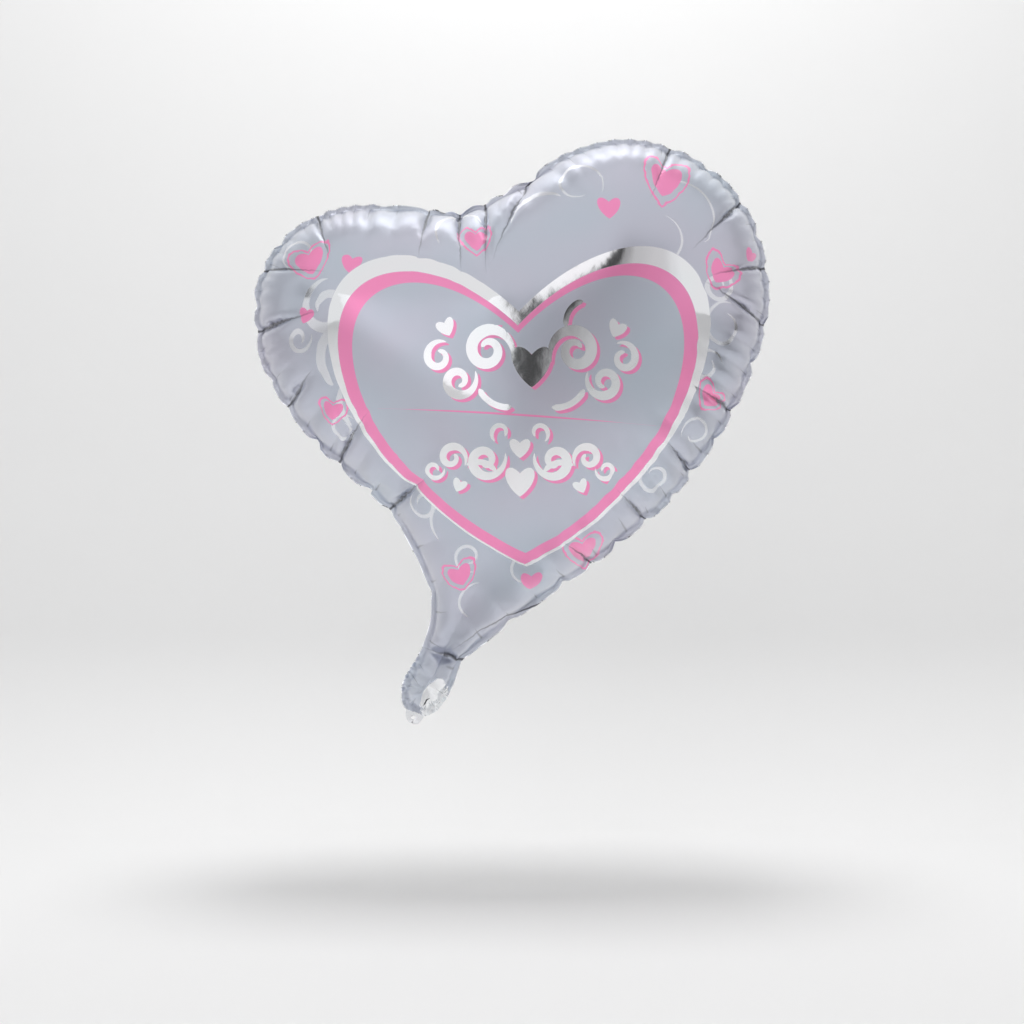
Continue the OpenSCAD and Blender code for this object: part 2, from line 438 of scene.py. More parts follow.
def valleys(points, creases):
    """How deep the creases are at points of the front view, in metres: each is a straight
    valley, narrow and fading along its length."""
    depth = np.zeros(len(points))
    for x0, z0, x1, z1, deep in creases:
        t, aside = beside(points, np.array([x0, z0]) * MM, np.array([x1, z1]) * MM)
        fade = smooth_step(1.05, 0.3, t) * smooth_step(-0.5, -0.1, t)
        width = (4.2 - 2.0 * np.clip(t, 0, 1)) * MM
        depth += deep * MM * fade * np.exp(-(aside / width) ** 2)
    return depth


def around(values, place):
    """Values on the weld ring, at fractional indices of it."""
    return np.interp(place, np.arange(len(values) + 1), np.r_[values, 2 * values[-1] - values[-2]])


def envelope(sizes):
    """The two films welded at the edge, once flat and once as a rough inflated start. The start's
    outline is the balloon's own; its height over the weld is that of a quarter ellipse that runs
    from the weld to the middle, less the creases. Vertices: front film with the weld ring first,
    the back film's inside, and the outer edge of the weld band."""
    outline = closed_curve(OUTLINE)
    slit_view = slit_shape(sizes)
    flat = flattened(outline, sizes)
    slit = flattened(slit_view, sizes)
    points, count, outer, place = film_lattice(flat, slit, sizes)
    points, faces = triangles_of(points, count, len(slit))
    edge = on_line(outline, place)
    weld = edge + 0.8 * sizes.weld * inward(edge)
    total = len(points)
    inner = total - count
    view = np.r_[weld, carried(points[:count], weld, points[count:])]
    gap, nearest = gap_to(weld, view)
    reach = 0.112  # from the weld to where the start is deepest
    depth = (CAD_BOX[1].y - CAD_BOX[0].y) / 2 * 0.93  # the start is shallower than the balloon
    height = depth * np.sqrt(np.maximum(1 - (1 - np.minimum(gap / reach, 1)) ** 2, 0))
    height[:count] = 0
    shallow = smooth_step(0, 0.012, gap)
    front = np.maximum(height - shallow * valleys(view, FRONT_CREASES), height * 0.35)
    back = np.maximum(height - shallow * valleys(view, BACK_CREASES), height * 0.35)
    notch = (valleys(edge, FRONT_CREASES) + valleys(edge, BACK_CREASES)) * 0.45
    pull = notch[:, None] * inward(edge)
    ripple, phase, wave, strength = ripples(edge, sizes)
    view[:count] += pull
    start = np.r_[np.c_[view[:, 0], -front, view[:, 1]],
                  np.c_[view[count:, 0], back[count:], view[count:, 1]],
                  np.c_[edge[:, 0] + pull[:, 0], ripple * 1.5, edge[:, 1] + pull[:, 1]]]
    start[:count, 1] += ripple
    pattern = np.r_[points, points[count:], outer]
    behind = np.arange(total)
    behind[count:] = total + np.arange(inner)
    i = np.arange(count)
    j = (i + 1) % count
    band = total + inner
    weld_faces = np.r_[np.stack([i, j, band + j], 1), np.stack([i, band + j, band + i], 1)]
    return {
        "start": start, "flat": np.c_[pattern[:, 0], np.zeros(len(pattern)), pattern[:, 1]],
        "front": faces, "back": behind[faces][:, ::-1], "weld": weld_faces, "count": count,
        "slit": len(slit), "total": total, "band": band, "edge": edge, "outer": outer,
        "gap": gap, "phase": around(phase, nearest), "wave": around(wave, nearest),
        "strength": around(strength, nearest),
    }


def inflated(parts, frames=40, scale=5.0):
    """The envelope after Blender's cloth simulation, which gives it the flat film's lengths and
    blows it up. The pressure acts on the films and not on the weld band. The cloth is solved
    larger than life, because the solver's limits are made for garments."""
    faces = np.r_[parts["front"], parts["back"], parts["weld"]]
    mesh = bpy.data.meshes.new("envelope")
    mesh.from_pydata((parts["start"] * scale).tolist(), [], faces.tolist())
    cloth = bpy.data.objects.new("envelope", mesh)
    bpy.context.scene.collection.objects.link(cloth)
    cloth.shape_key_add(name="Basis")
    rest = cloth.shape_key_add(name="flat")
    rest.data.foreach_set("co", (parts["flat"] * scale).ravel())
    rest.value = 0.0
    blown = cloth.vertex_groups.new(name="blown")
    blown.add(list(range(parts["band"])), 1.0, "REPLACE")
    modifier = cloth.modifiers.new("Inflate", "CLOTH")
    settings = modifier.settings
    settings.rest_shape_key = rest
    settings.quality = 5
    settings.mass = 0.1
    settings.air_damping = 1.0
    settings.bending_model = "ANGULAR"
    settings.tension_stiffness = settings.compression_stiffness = 40
    settings.shear_stiffness = 20
    settings.bending_stiffness = 0.1
    settings.tension_damping = settings.compression_damping = settings.shear_damping = 5
    settings.bending_damping = 0.5
    settings.use_pressure = True
    settings.uniform_pressure_force = 8.0
    settings.vertex_group_pressure = "blown"
    settings.effector_weights.gravity = 0
    modifier.collision_settings.use_collision = False
    modifier.point_cache.frame_start = 1
    modifier.point_cache.frame_end = frames + 1
    scene = bpy.context.scene
    scene.frame_start, scene.frame_end = 1, frames + 1
    for number in range(1, frames + 1):
        scene.frame_set(number)
    found = cloth.evaluated_get(bpy.context.evaluated_depsgraph_get())
    shape = np.zeros(len(parts["start"]) * 3)
    found.data.vertices.foreach_get("co", shape)
    scene.frame_set(1)
    bpy.data.objects.remove(cloth)
    bpy.data.meshes.remove(mesh)
    return shape.reshape(-1, 3) / scale


def closed_mean(values, reach):
    """Mean of a closed row of values over reach neighbours on each side."""
    width = 2 * reach + 1
    padded = np.r_[values[-reach:], values, values[:reach]]
    sums = np.cumsum(np.r_[np.zeros((1,) + values.shape[1:]), padded], axis=0)
    return (sums[width:] - sums[:-width]) / width


def fitted(shape, parts):
    """The inflated shape drawn smoothly onto the balloon's outline: the weld band's edge, freed
    of its ripples, is compared with the outline, and the difference is carried over both films.
    The mean line of the edge is also brought back into the plane of the weld."""
    count, total, band = parts["count"], parts["total"], parts["band"]
    edge = shape[band:]
    target = np.c_[parts["edge"][:, 0], np.zeros(count), parts["edge"][:, 1]]
    away = target - edge
    wide = closed_mean(closed_mean(away, 14), 14)
    narrow = closed_mean(away, 3)
    in_tail = smooth_step(0.075, 0.035, parts["edge"][:, 1])[:, None]
    move = wide * (1 - in_tail) + narrow * in_tail
    flat = parts["flat"][:, [0, 2]]
    inside = carried(flat[:count], move, flat[count:total])
    return shape + np.r_[move, inside, inside, move]


def pinched(shape):
    """The crease at the root of the tail: both films draw in towards each other along it, and
    less so in a line above it and one below it."""
    crease = joint_place("tail_bend")[[0, 2]]
    across = tail_across()
    down = -((shape[:, [0, 2]] - crease) @ np.array([-across[1], across[0]]))
    near = (shape[:, 2] < 0.11) & (np.abs(down) < 0.03)
    drawn = sum(deep * np.exp(-(np.abs(down - place) / width) ** power)
                for place, deep, width, power in PINCHES)
    shape = shape.copy()
    shape[:, 1] *= 1 - near * drawn
    return shape


def calmed(shape, faces, fixed, rounds=2, share=0.35):
    """Each free vertex moves a share of the way to the mean of its neighbours, which takes the
    unevenness of the triangles out of the reflections."""
    pairs = np.r_[faces[:, [0, 1]], faces[:, [1, 2]], faces[:, [2, 0]]]
    pairs = np.unique(np.sort(pairs, axis=1), axis=0)
    ends = np.r_[pairs, pairs[:, ::-1]]
    number = np.bincount(ends[:, 0], minlength=len(shape))[:, None]
    for _ in range(rounds):
        total = np.stack([np.bincount(ends[:, 0], shape[ends[:, 1], k], len(shape))
                          for k in range(3)], 1)
        mean = total / np.maximum(number, 1)
        mean[number[:, 0] == 0] = shape[number[:, 0] == 0]
        move = share * (mean - shape)
        move[fixed] = 0
        shape = shape + move
    return shape


def outward_normals(shape, faces):
    """Unit normals of the vertices: the sum of the cross products of their faces' edges."""
    a, b, c = [shape[faces[:, k]] for k in range(3)]
    face = np.cross(b - a, c - a)
    total = np.zeros_like(shape)
    for k in range(3):
        np.add.at(total, faces[:, k], face)
    return total / np.maximum(np.linalg.norm(total, axis=1), 1e-12)[:, None]


def grooves(flat, creases, sizes):
    """Depth of the sharp fold in the bottom of each crease, at points of the flat film: it falls
    off by the exponential of the distance from the crease's line, and fades along it."""
    depth = np.zeros(len(flat))
    for crease in creases:
        t, aside = beside(flat, *crease_line(crease, sizes))
        fade = smooth_step(1.0, 0.25, t) * smooth_step(-0.4, 0.0, t)
        width = (1.9 - 0.7 * np.clip(t, 0, 1)) * MM
        depth += FOLD_SHARE * crease[4] * MM * fade * np.exp(-np.abs(aside) / width)
    return depth


def puckered(shape, parts, sizes):
    """Puckers and sharp folds near the weld. A pucker's depth along the weld is one less the
    absolute sine of half the ripple's phase, which is a sharp fold between two round pillows;
    away from the weld it rises and dies out as x times the exponential of minus x. The front
    film folds where the weld comes forwards and the back film where it goes back."""
    count, total = parts["count"], parts["total"]
    gap, phase = parts["gap"], parts["phase"]
    reach = 0.36 * parts["wave"]
    far = gap / reach
    deep = 0.15 * parts["wave"] * parts["strength"] * far * np.exp(1 - far)
    flat = parts["flat"][:total, [0, 2]]
    near_weld = smooth_step(0, 0.003, gap)
    moves = []
    for shift, creases in ((np.pi / 2, FRONT_CREASES), (-np.pi / 2, BACK_CREASES)):
        fold = 1 - np.abs(np.sin((phase + shift) / 2))
        moves.append(deep * fold + near_weld * grooves(flat, creases, sizes))
    normal = outward_normals(shape, np.r_[parts["front"], parts["back"]])
    inwards = np.zeros(len(shape))
    inwards[:total] = moves[0]
    inwards[:count] = 0
    inwards[total:parts["band"]] = moves[1][count:]
    return shape - normal * inwards[:, None]


# ---------------------------------------------------------------- meshes

def new_object(name, points, faces, material, smooth=True):
    """Mesh object at the origin, with its points in the frame's metres."""
    mesh = bpy.data.meshes.new(name)
    mesh.from_pydata(np.asarray(points).tolist(), [], np.asarray(faces).tolist())
    mesh.validate()
    mesh.materials.append(material)
    if smooth:
        mesh.polygons.foreach_set("use_smooth", np.ones(len(mesh.polygons), bool))
    made = bpy.data.objects.new(name, mesh)
    bpy.context.scene.collection.objects.link(made)
    return made


def add_map(made, name, values):
    """UV map with one value for each vertex."""
    mesh = made.data
    corner = np.zeros(len(mesh.loops), np.int32)
    mesh.loops.foreach_get("vertex_index", corner)
    layer = mesh.uv_layers.new(name=name)
    layer.data.foreach_set("uv", values[corner].astype(np.float32).ravel())
    return layer


def add_seam_map(made, along, gap, total):
    """UV map 'seam': the number of ripples along the weld and the distance from it over 0.1 m.
    Faces that cross the end of the count get it carried on, so that it doesn't run back."""
    mesh = made.data
    corner = np.zeros(len(mesh.loops), np.int32)
    mesh.loops.foreach_get("vertex_index", corner)
    place = along[corner].reshape(-1, 3)
    wraps = (np.ptp(place, axis=1) > total / 2)[:, None] & (place < total / 2)
    place = np.where(wraps, place + total, place)
    values = np.stack([place.ravel(), gap[corner] / 0.1], 1)
    layer = mesh.uv_layers.new(name="seam")
    layer.data.foreach_set("uv", values.astype(np.float32).ravel())


def add_crease_map(made, flat, creases, sizes):
    """UV map 'crease': how far each corner is aside of its face's nearest crease, over 0.01 m,
    and which share of the way along it. Both grow evenly over a face, so the crease's line can
    be finer than the mesh."""
    mesh = made.data
    corner = np.zeros(len(mesh.loops), np.int32)
    mesh.loops.foreach_get("vertex_index", corner)
    place = flat[corner]
    aside, share, far = [], [], []
    for crease in creases:
        start, end = crease_line(crease, sizes)
        t, off = beside(place, start, end)
        aside.append(off)
        share.append(t)
        past = (t - np.clip(t, 0, 1)) * np.linalg.norm(end - start)
        far.append(np.hypot(off, past).reshape(-1, 3).mean(1))
    nearest = np.repeat(np.argmin(far, axis=0), 3)
    rows = np.arange(len(corner))
    values = np.stack([np.array(aside)[nearest, rows] / 0.01, np.array(share)[nearest, rows]], 1)
    layer = mesh.uv_layers.new(name="crease")
    layer.data.foreach_set("uv", values.astype(np.float32).ravel())


# The square of the flat film's plane that the map 'flat' covers
FLAT_SPAN = 0.55
FLAT_CORNER = np.array([-0.17, -0.02])


def film_object(name, side, shape, parts, sizes, material):
    """One film as a single sheet: its own panel and its own ply of the weld band, a hair away
    from the other film's."""
    count, band = parts["count"], parts["band"]
    faces = parts[side]
    if side == "front":
        lens = np.arange(count, count + parts["slit"])
        faces = faces[~np.isin(faces, lens).all(1)]
    weld = parts["weld"] if side == "front" else parts["weld"][:, ::-1]
    faces = np.r_[faces, front_side_out(shape, weld, side)]
    used, faces = np.unique(faces, return_inverse=True)
    faces = faces.reshape(-1, 3)
    points = shape[used].copy()
    hair = 0.00004
    points[:, 1] += -hair if side == "front" else hair
    made = new_object(name, points, faces, material)
    flat = parts["flat"][used][:, [0, 2]]
    add_map(made, "flat", (flat - FLAT_CORNER) / FLAT_SPAN)
    ring = parts["flat"][:count][:, [0, 2]]
    gap, nearest = gap_to(ring, flat)
    outside = used >= band
    gap[outside] = -np.linalg.norm(flat[outside] - ring[used[outside] - band], axis=1)
    waves = parts["phase"][:count] / (2 * np.pi)
    along = around(waves, nearest)
    along[outside] = waves[used[outside] - band]
    add_seam_map(made, along, gap, round(waves[-1]))
    add_crease_map(made, flat, FRONT_CREASES if side == "front" else BACK_CREASES, sizes)
    finer = made.modifiers.new("Subdivision", "SUBSURF")
    finer.levels = finer.render_levels = 1
    return made


def print_middle(film, finder, material):
    """Gives the faces well inside the big heart the material with the rows of ornament. The
    print is in two materials because one can't hold all its strokes."""
    mesh = film.data
    mesh.materials.append(material)
    corner = np.zeros(len(mesh.loops) * 2, np.float32)
    mesh.uv_layers["flat"].data.foreach_get("uv", corner)
    place = corner.reshape(-1, 3, 2).astype(float) * FLAT_SPAN + FLAT_CORNER
    middle, half, tall, tilt = big_heart(finder)
    field = heart_field(place.reshape(-1, 2) / MM, middle, half * HEART_INNER, tall, tilt)
    inside = field.reshape(-1, 3).max(1) < -1.5
    mesh.polygons.foreach_set("material_index", inside.astype(np.int32))


def front_side_out(shape, faces, side):
    """Faces turned so that most of them look out of their own side of the weld."""
    a, b, c = [shape[faces[:, k]] for k in range(3)]
    facing = np.cross(b - a, c - a)[:, 1].mean()
    wanted = -1 if side == "front" else 1
    return faces if facing * wanted > 0 else faces[:, ::-1]


class FlatFinder:
    """Finds the place on the flat film of a point of the front view, as the level camera sees
    it: the weighted mean of the flat places of the nearest points of the front film."""

    def __init__(self, shape, parts, stage):
        front = shape[:parts["total"]]
        centre = np.array([stage.aim_x, stage.aim_z])
        nearer = stage.distance / (stage.distance + front[:, 1])
        self.seen = centre + (front[:, [0, 2]] - centre) * nearer[:, None]
        self.flat = parts["flat"][:parts["total"]][:, [0, 2]]

    def find(self, x, z):
        """Flat place, in millimetres, of the view's x and z in millimetres."""
        gap = np.linalg.norm(self.seen - np.array([x, z]) * MM, axis=1)
        near = np.argsort(gap)[:6]
        weight = 1 / (gap[near] + 0.0004) ** 2
        return (weight @ self.flat[near]) / weight.sum() / MM

    def grown(self, x, z, reach=12):
        """How much longer the flat film is than the view there, across and up."""
        wide = self.find(x + reach, z) - self.find(x - reach, z)
        tall = self.find(x, z + reach) - self.find(x, z - reach)
        return abs(wide[0]) / (2 * reach), abs(tall[1]) / (2 * reach)


# ---------------------------------------------------------------- shader tools

class Tree:
    """Adds nodes to a node tree and links them, so that a formula reads as one line each."""

    def __init__(self, tree):
        self.tree = tree

    def add(self, kind, links=None, **settings):
        node = self.tree.nodes.new(kind)
        for name, value in settings.items():
            setattr(node, name, value)
        for name, value in (links or {}).items():
            self.feed(node.inputs[name], value)
        return node

    def feed(self, socket, value):
        if isinstance(value, bpy.types.NodeSocket):
            self.tree.links.new(value, socket)
        else:
            socket.default_value = value

    def math(self, operation, *values, clamp=False):
        node = self.add("ShaderNodeMath", operation=operation, use_clamp=clamp)
        for socket, value in zip(node.inputs, values):
            self.feed(socket, value)
        return node.outputs[0]

    def vector(self, operation, *values, out="Vector"):
        node = self.add("ShaderNodeVectorMath", operation=operation)
        for socket, value in zip(node.inputs, values):
            self.feed(socket, value)
        return node.outputs[out]

    def split(self, vector):
        node = self.add("ShaderNodeSeparateXYZ", {"Vector": vector})
        return node.outputs[0], node.outputs[1], node.outputs[2]

    def join(self, x, y, z=0.0):
        return self.add("ShaderNodeCombineXYZ", {"X": x, "Y": y, "Z": z}).outputs[0]

    def noise(self, vector, scale, detail=2.0, roughness=0.5, distortion=0.0):
        return self.add("ShaderNodeTexNoise", {
            "Vector": vector, "Scale": scale, "Detail": detail, "Roughness": roughness,
            "Distortion": distortion}).outputs["Fac"]

    def blend(self, share, low, high):
        node = self.add("ShaderNodeMix", data_type="RGBA")
        self.feed(node.inputs[0], share)
        self.feed(node.inputs[6], low)
        self.feed(node.inputs[7], high)
        return node.outputs[2]

    def mask(self, field, soft=0.35):
        """1 where the field is below 0, with an edge that is soft millimetres wide."""
        return self.math("MULTIPLY_ADD", field, -1 / soft, 0.5, clamp=True)

    def call(self, group, **links):
        node = self.tree.nodes.new("ShaderNodeGroup")
        node.node_tree = group
        for name, value in links.items():
            self.feed(node.inputs[name.replace("_", " ")], value)
        return node.outputs


def new_group(name, inputs, outputs):
    """Shader node group with named sockets. Inputs are (name, kind, default)."""
    group = bpy.data.node_groups.new(name, "ShaderNodeTree")
    for label, kind, default in inputs:
        socket = group.interface.new_socket(name=label, in_out="INPUT",
                                            socket_type="NodeSocket" + kind)
        if default is not None:
            socket.default_value = default
    for label, kind in outputs:
        group.interface.new_socket(name=label, in_out="OUTPUT", socket_type="NodeSocket" + kind)
    tree = Tree(group)
    return group, tree, tree.add("NodeGroupInput").outputs, tree.add("NodeGroupOutput").inputs


# The printed heart of half width 1: the middle of the ellipse that draws its right half, the
# ellipse's lean and two radii, and how far the notch is above the heart's middle and the tip below
HEART_MIDDLE = (0.30, 0.01)
HEART_LEAN = math.radians(54)
HEART_RADII = (0.943, 0.531)
HEART_NOTCH, HEART_TIP = 0.48, 0.97
# How much the tip is drawn out, how wide that is, and the share of the heart inside its border
HEART_POINT, HEART_POINT_WIDTH = 0.16, 0.75
HEART_INNER = 0.917


def heart_group():
    """Heart field in millimetres, below 0 inside. The sideways distance from the heart's middle
    line is made positive, so one leaning ellipse draws both halves, and the lower middle is
    drawn out to a point; the field is the distance from the ellipse's centre in its own radii,
    less one."""
    group, tree, given, out = new_group("Heart", [
        ("Point", "Vector", None), ("Centre", "Vector", None), ("Half Width", "Float", 10.0),
        ("Tall", "Float", 1.0), ("Tilt", "Float", 0.0)], [("Field", "Float")])
    away = tree.vector("SUBTRACT", given["Point"], given["Centre"])
    back = tree.math("MULTIPLY", given["Tilt"], -1.0)
    turned = tree.add("ShaderNodeVectorRotate", {"Vector": away, "Angle": back},
                      rotation_type="Z_AXIS").outputs[0]
    x, y, _ = tree.split(turned)
    x = tree.math("DIVIDE", x, given["Half Width"])
    y = tree.math("DIVIDE", tree.math("DIVIDE", y, given["Half Width"]), given["Tall"])
    x = tree.math("ABSOLUTE", x)
    tip = tree.math("MULTIPLY_ADD", x, -1 / HEART_POINT_WIDTH, 1.0, clamp=True)
    tip = tree.math("MULTIPLY", tree.math("MULTIPLY", tip, tip), HEART_POINT)
    below = tree.math("MULTIPLY", y, -2.0, clamp=True)
    x = tree.math("SUBTRACT", x, HEART_MIDDLE[0])
    y = tree.math("SUBTRACT", tree.math("MULTIPLY_ADD", tip, below, y), HEART_MIDDLE[1])
    along = tree.math("ADD", tree.math("MULTIPLY", x, math.cos(HEART_LEAN)),
                      tree.math("MULTIPLY", y, math.sin(HEART_LEAN)))
    aside = tree.math("SUBTRACT", tree.math("MULTIPLY", y, math.cos(HEART_LEAN)),
                      tree.math("MULTIPLY", x, math.sin(HEART_LEAN)))
    radii = tree.join(tree.math("DIVIDE", along, HEART_RADII[0]),
                      tree.math("DIVIDE", aside, HEART_RADII[1]))
    far = tree.math("SUBTRACT", tree.vector("LENGTH", radii, out="Value"), 1.0)
    size = tree.math("MULTIPLY", given["Half Width"], HEART_RADII[1])
    tree.feed(out["Field"], tree.math("MULTIPLY", far, size))
    return group


def scroll_group():
    """Field of one scroll stroke in millimetres, below 0 inside. The stroke follows a spiral
    whose radius shrinks by Tightness for each radian from Start, for Sweep radians, to the side
    that Hand gives; it is widest in the middle and comes to a point at both ends."""
    group, tree, given, out = new_group("Scroll Stroke", [
        ("Point", "Vector", None), ("Centre", "Vector", None), ("Radius", "Float", 20.0),
        ("Tightness", "Float", 0.1), ("Start", "Float", 0.0), ("Sweep", "Float", 3.0),
        ("Hand", "Float", 1.0), ("Width", "Float", 3.0)], [("Field", "Float")])
    turn = 2 * math.pi
    away = tree.vector("SUBTRACT", given["Point"], given["Centre"])
    x, y, _ = tree.split(away)
    radius = tree.vector("LENGTH", away, out="Value")
    angle = tree.math("SUBTRACT", tree.math("ARCTAN2", y, x), given["Start"])
    angle = tree.math("WRAP", tree.math("MULTIPLY", angle, given["Hand"]), turn, 0.0)
    share = tree.math("MAXIMUM", tree.math("DIVIDE", radius, given["Radius"]), 0.001)
    here = tree.math("DIVIDE", tree.math("LOGARITHM", share, math.e), given["Tightness"])
    here = tree.math("MULTIPLY", here, -1.0)
    turns = tree.math("ROUND", tree.math("DIVIDE", tree.math("SUBTRACT", here, angle), turn))
    arm = tree.math("MULTIPLY_ADD", turns, turn, angle)
    gap = tree.math("ABSOLUTE", tree.math("SUBTRACT", here, arm))
    gap = tree.math("MULTIPLY", tree.math("MULTIPLY", gap, given["Tightness"]), radius)
    t = tree.math("DIVIDE", arm, given["Sweep"])
    hump = tree.math("MULTIPLY", tree.math("MULTIPLY", t, tree.math("SUBTRACT", 1.0, t)), 4.0)
    hump = tree.math("POWER", tree.math("MAXIMUM", hump, 0.0), 0.55)
    wide = tree.math("MULTIPLY", tree.math("MULTIPLY", given["Width"], 0.5), hump)
    tree.feed(out["Field"], tree.math("ADD", tree.math("SUBTRACT", gap, wide), 0.25))
    return group


def fields_group(name, heart, scroll, hearts, scrolls, mirrored=False):
    """Group that joins many hearts and scrolls: its field is the least of theirs. hearts are
    (x, y, half width, tall, tilt), scrolls (x, y, radius, tightness, start, sweep, hand, width),
    in millimetres and degrees. A mirrored one repeats its right half on the left."""
    group, tree, given, out = new_group(name, [("Point", "Vector", None)], [("Field", "Float")])
    point = given["Point"]
    if mirrored:
        x, y, _ = tree.split(point)
        point = tree.join(tree.math("ABSOLUTE", x), y)
    least = None
    for x, y, half, tall, tilt in hearts:
        field = tree.call(heart, Point=point, Centre=(x, y, 0), Half_Width=half, Tall=tall,
                          Tilt=math.radians(tilt))[0]
        least = field if least is None else tree.math("MINIMUM", least, field)
    for x, y, radius, tight, start, sweep, hand, width in scrolls:
        field = tree.call(scroll, Point=point, Centre=(x, y, 0), Radius=radius, Tightness=tight,
                          Start=math.radians(start), Sweep=math.radians(sweep), Hand=hand,
                          Width=width)[0]
        least = field if least is None else tree.math("MINIMUM", least, field)
    tree.feed(out["Field"], least)
    return group


# Ornaments of the two rows inside the big heart, right half, round the row's own middle
ROW_ONE_HEARTS = [(0, -3, 16, 1.1, 0), (70, 27, 7.5, 1.0, -24)]
ROW_ONE_SCROLLS = [
    (36, 9, 22, 0.15, 205, 540, -1, 11.5), (60, -15, 16, 0.16, 150, 480, 1, 9.0),
    (20, -9, 27, 0.03, 262, 70, 1, 9.5), (47, 31, 19, 0.04, 190, 85, -1, 8.0),
    (76, 4, 13, 0.15, 120, 400, -1, 7.5),
]
ROW_TWO_HEARTS = [(0, 14, 8.5, 1.0, 0), (0, -13, 12, 1.1, 0), (50, -16, 6, 1.0, 24)]
ROW_TWO_SCROLLS = [
    (29, 4, 18, 0.17, 160, 500, 1, 9.0), (56, 7, 13, 0.17, 215, 450, -1, 7.5),
    (34, -17, 20, 0.04, 60, 80, 1, 7.0), (71, -3, 9, 0.14, 170, 380, 1, 5.5),
    (16, 26, 8, 0.12, 300, 280, 1, 5.0),
]
# Bare-foil filigree on the grey: x, z in the front view, radius, tightness, start, sweep,
# hand, width
FILIGREE = [
    (-62, 300, 24, 0.12, 90, 470, 1, 9.0), (-44, 262, 30, 0.05, 120, 110, 1, 10.0),
    (-84, 276, 13, 0.15, 20, 430, -1, 4.5), (-34, 230, 26, 0.06, 150, 80, 1, 7.0),
    (-86, 336, 18, 0.10, 300, 320, 1, 3.0), (30, 352, 24, 0.08, 20, 200, 1, 3.5),
    (98, 362, 30, 0.06, 180, 120, -1, 5.0), (120, 390, 22, 0.10, 330, 330, 1, 3.0),
    (196, 366, 34, 0.06, 140, 190, -1, 2.6), (178, 352, 26, 0.07, 200, 230, 1, 2.6),
    (222, 316, 17, 0.13, 100, 480, -1, 5.0), (226, 286, 20, 0.10, 60, 380, 1, 4.0),
    (214, 256, 16, 0.14, 10, 400, 1, 4.5), (206, 208, 15, 0.12, 200, 360, -1, 3.5),
    (176, 176, 17, 0.13, 100, 420, 1, 4.0), (-50, 210, 14, 0.13, 40, 400, 1, 4.0),
    (8, 156, 15, 0.13, 130, 420, 1, 4.0), (40, 118, 15, 0.13, 300, 400, -1, 3.5),
    (86, 108, 20, 0.08, 40, 220, 1, 3.2), (46, 84, 18, 0.06, 80, 170, 1, 3.0),
    (30, 140, 24, 0.05, 100, 120, 1, 3.4),
]
# Small pink hearts: x, z in the front view, half width, tilt, and 1 with a drawn line round it
SMALL_HEARTS = [
    (-76, 332, 15, 18, 1), (-45, 332, 7, -10, 0), (-78, 292, 5.5, -20, 0),
    (-59, 224, 10, -8, 1), (45, 348, 12, 4, 1), (143, 373, 8.5, 0, 0), (184, 392, 17, -12, 1),
    (224, 325, 13, -30, 1), (246, 337, 5, -30, 0), (216, 233, 11, -38, 1),
    (124, 122, 14, 12, 1), (86, 100, 7.5, 8, 0), (34, 104, 12, 20, 1),
]


def big_heart(finder):
    """Middle, half width, height share and tilt of the big heart on the flat film, from its two
    sides, tip and notch in the front view."""
    left, right = finder.find(-50, 262), finder.find(210, 272)
    tip, notch = finder.find(70, 112), finder.find(78, 286)
    half = np.linalg.norm(right - left) / 2
    tilt = math.atan2(right[1] - left[1], right[0] - left[0])
    tall = np.linalg.norm(notch - tip) / ((HEART_NOTCH + HEART_TIP) * half)
    share = HEART_NOTCH / (HEART_NOTCH + HEART_TIP)
    middle = notch + (tip - notch) * share
    middle[0] = (middle[0] + (left[0] + right[0]) / 2) / 2
    return middle, half, tall, tilt


def heart_field(points, middle, half, tall, tilt):
    """The same field as the node group's, for points in millimetres."""
    away = points - middle
    x = (away[:, 0] * math.cos(tilt) + away[:, 1] * math.sin(tilt)) / half
    y = (away[:, 1] * math.cos(tilt) - away[:, 0] * math.sin(tilt)) / half / tall
    x = np.abs(x)
    y = y + HEART_POINT * np.maximum(1 - x / HEART_POINT_WIDTH, 0) ** 2 * np.clip(-2 * y, 0, 1)
    x, y = x - HEART_MIDDLE[0], y - HEART_MIDDLE[1]
    along = x * math.cos(HEART_LEAN) + y * math.sin(HEART_LEAN)
    aside = y * math.cos(HEART_LEAN) - x * math.sin(HEART_LEAN)
    return (np.hypot(along / HEART_RADII[0], aside / HEART_RADII[1]) - 1) * half * HEART_RADII[1]


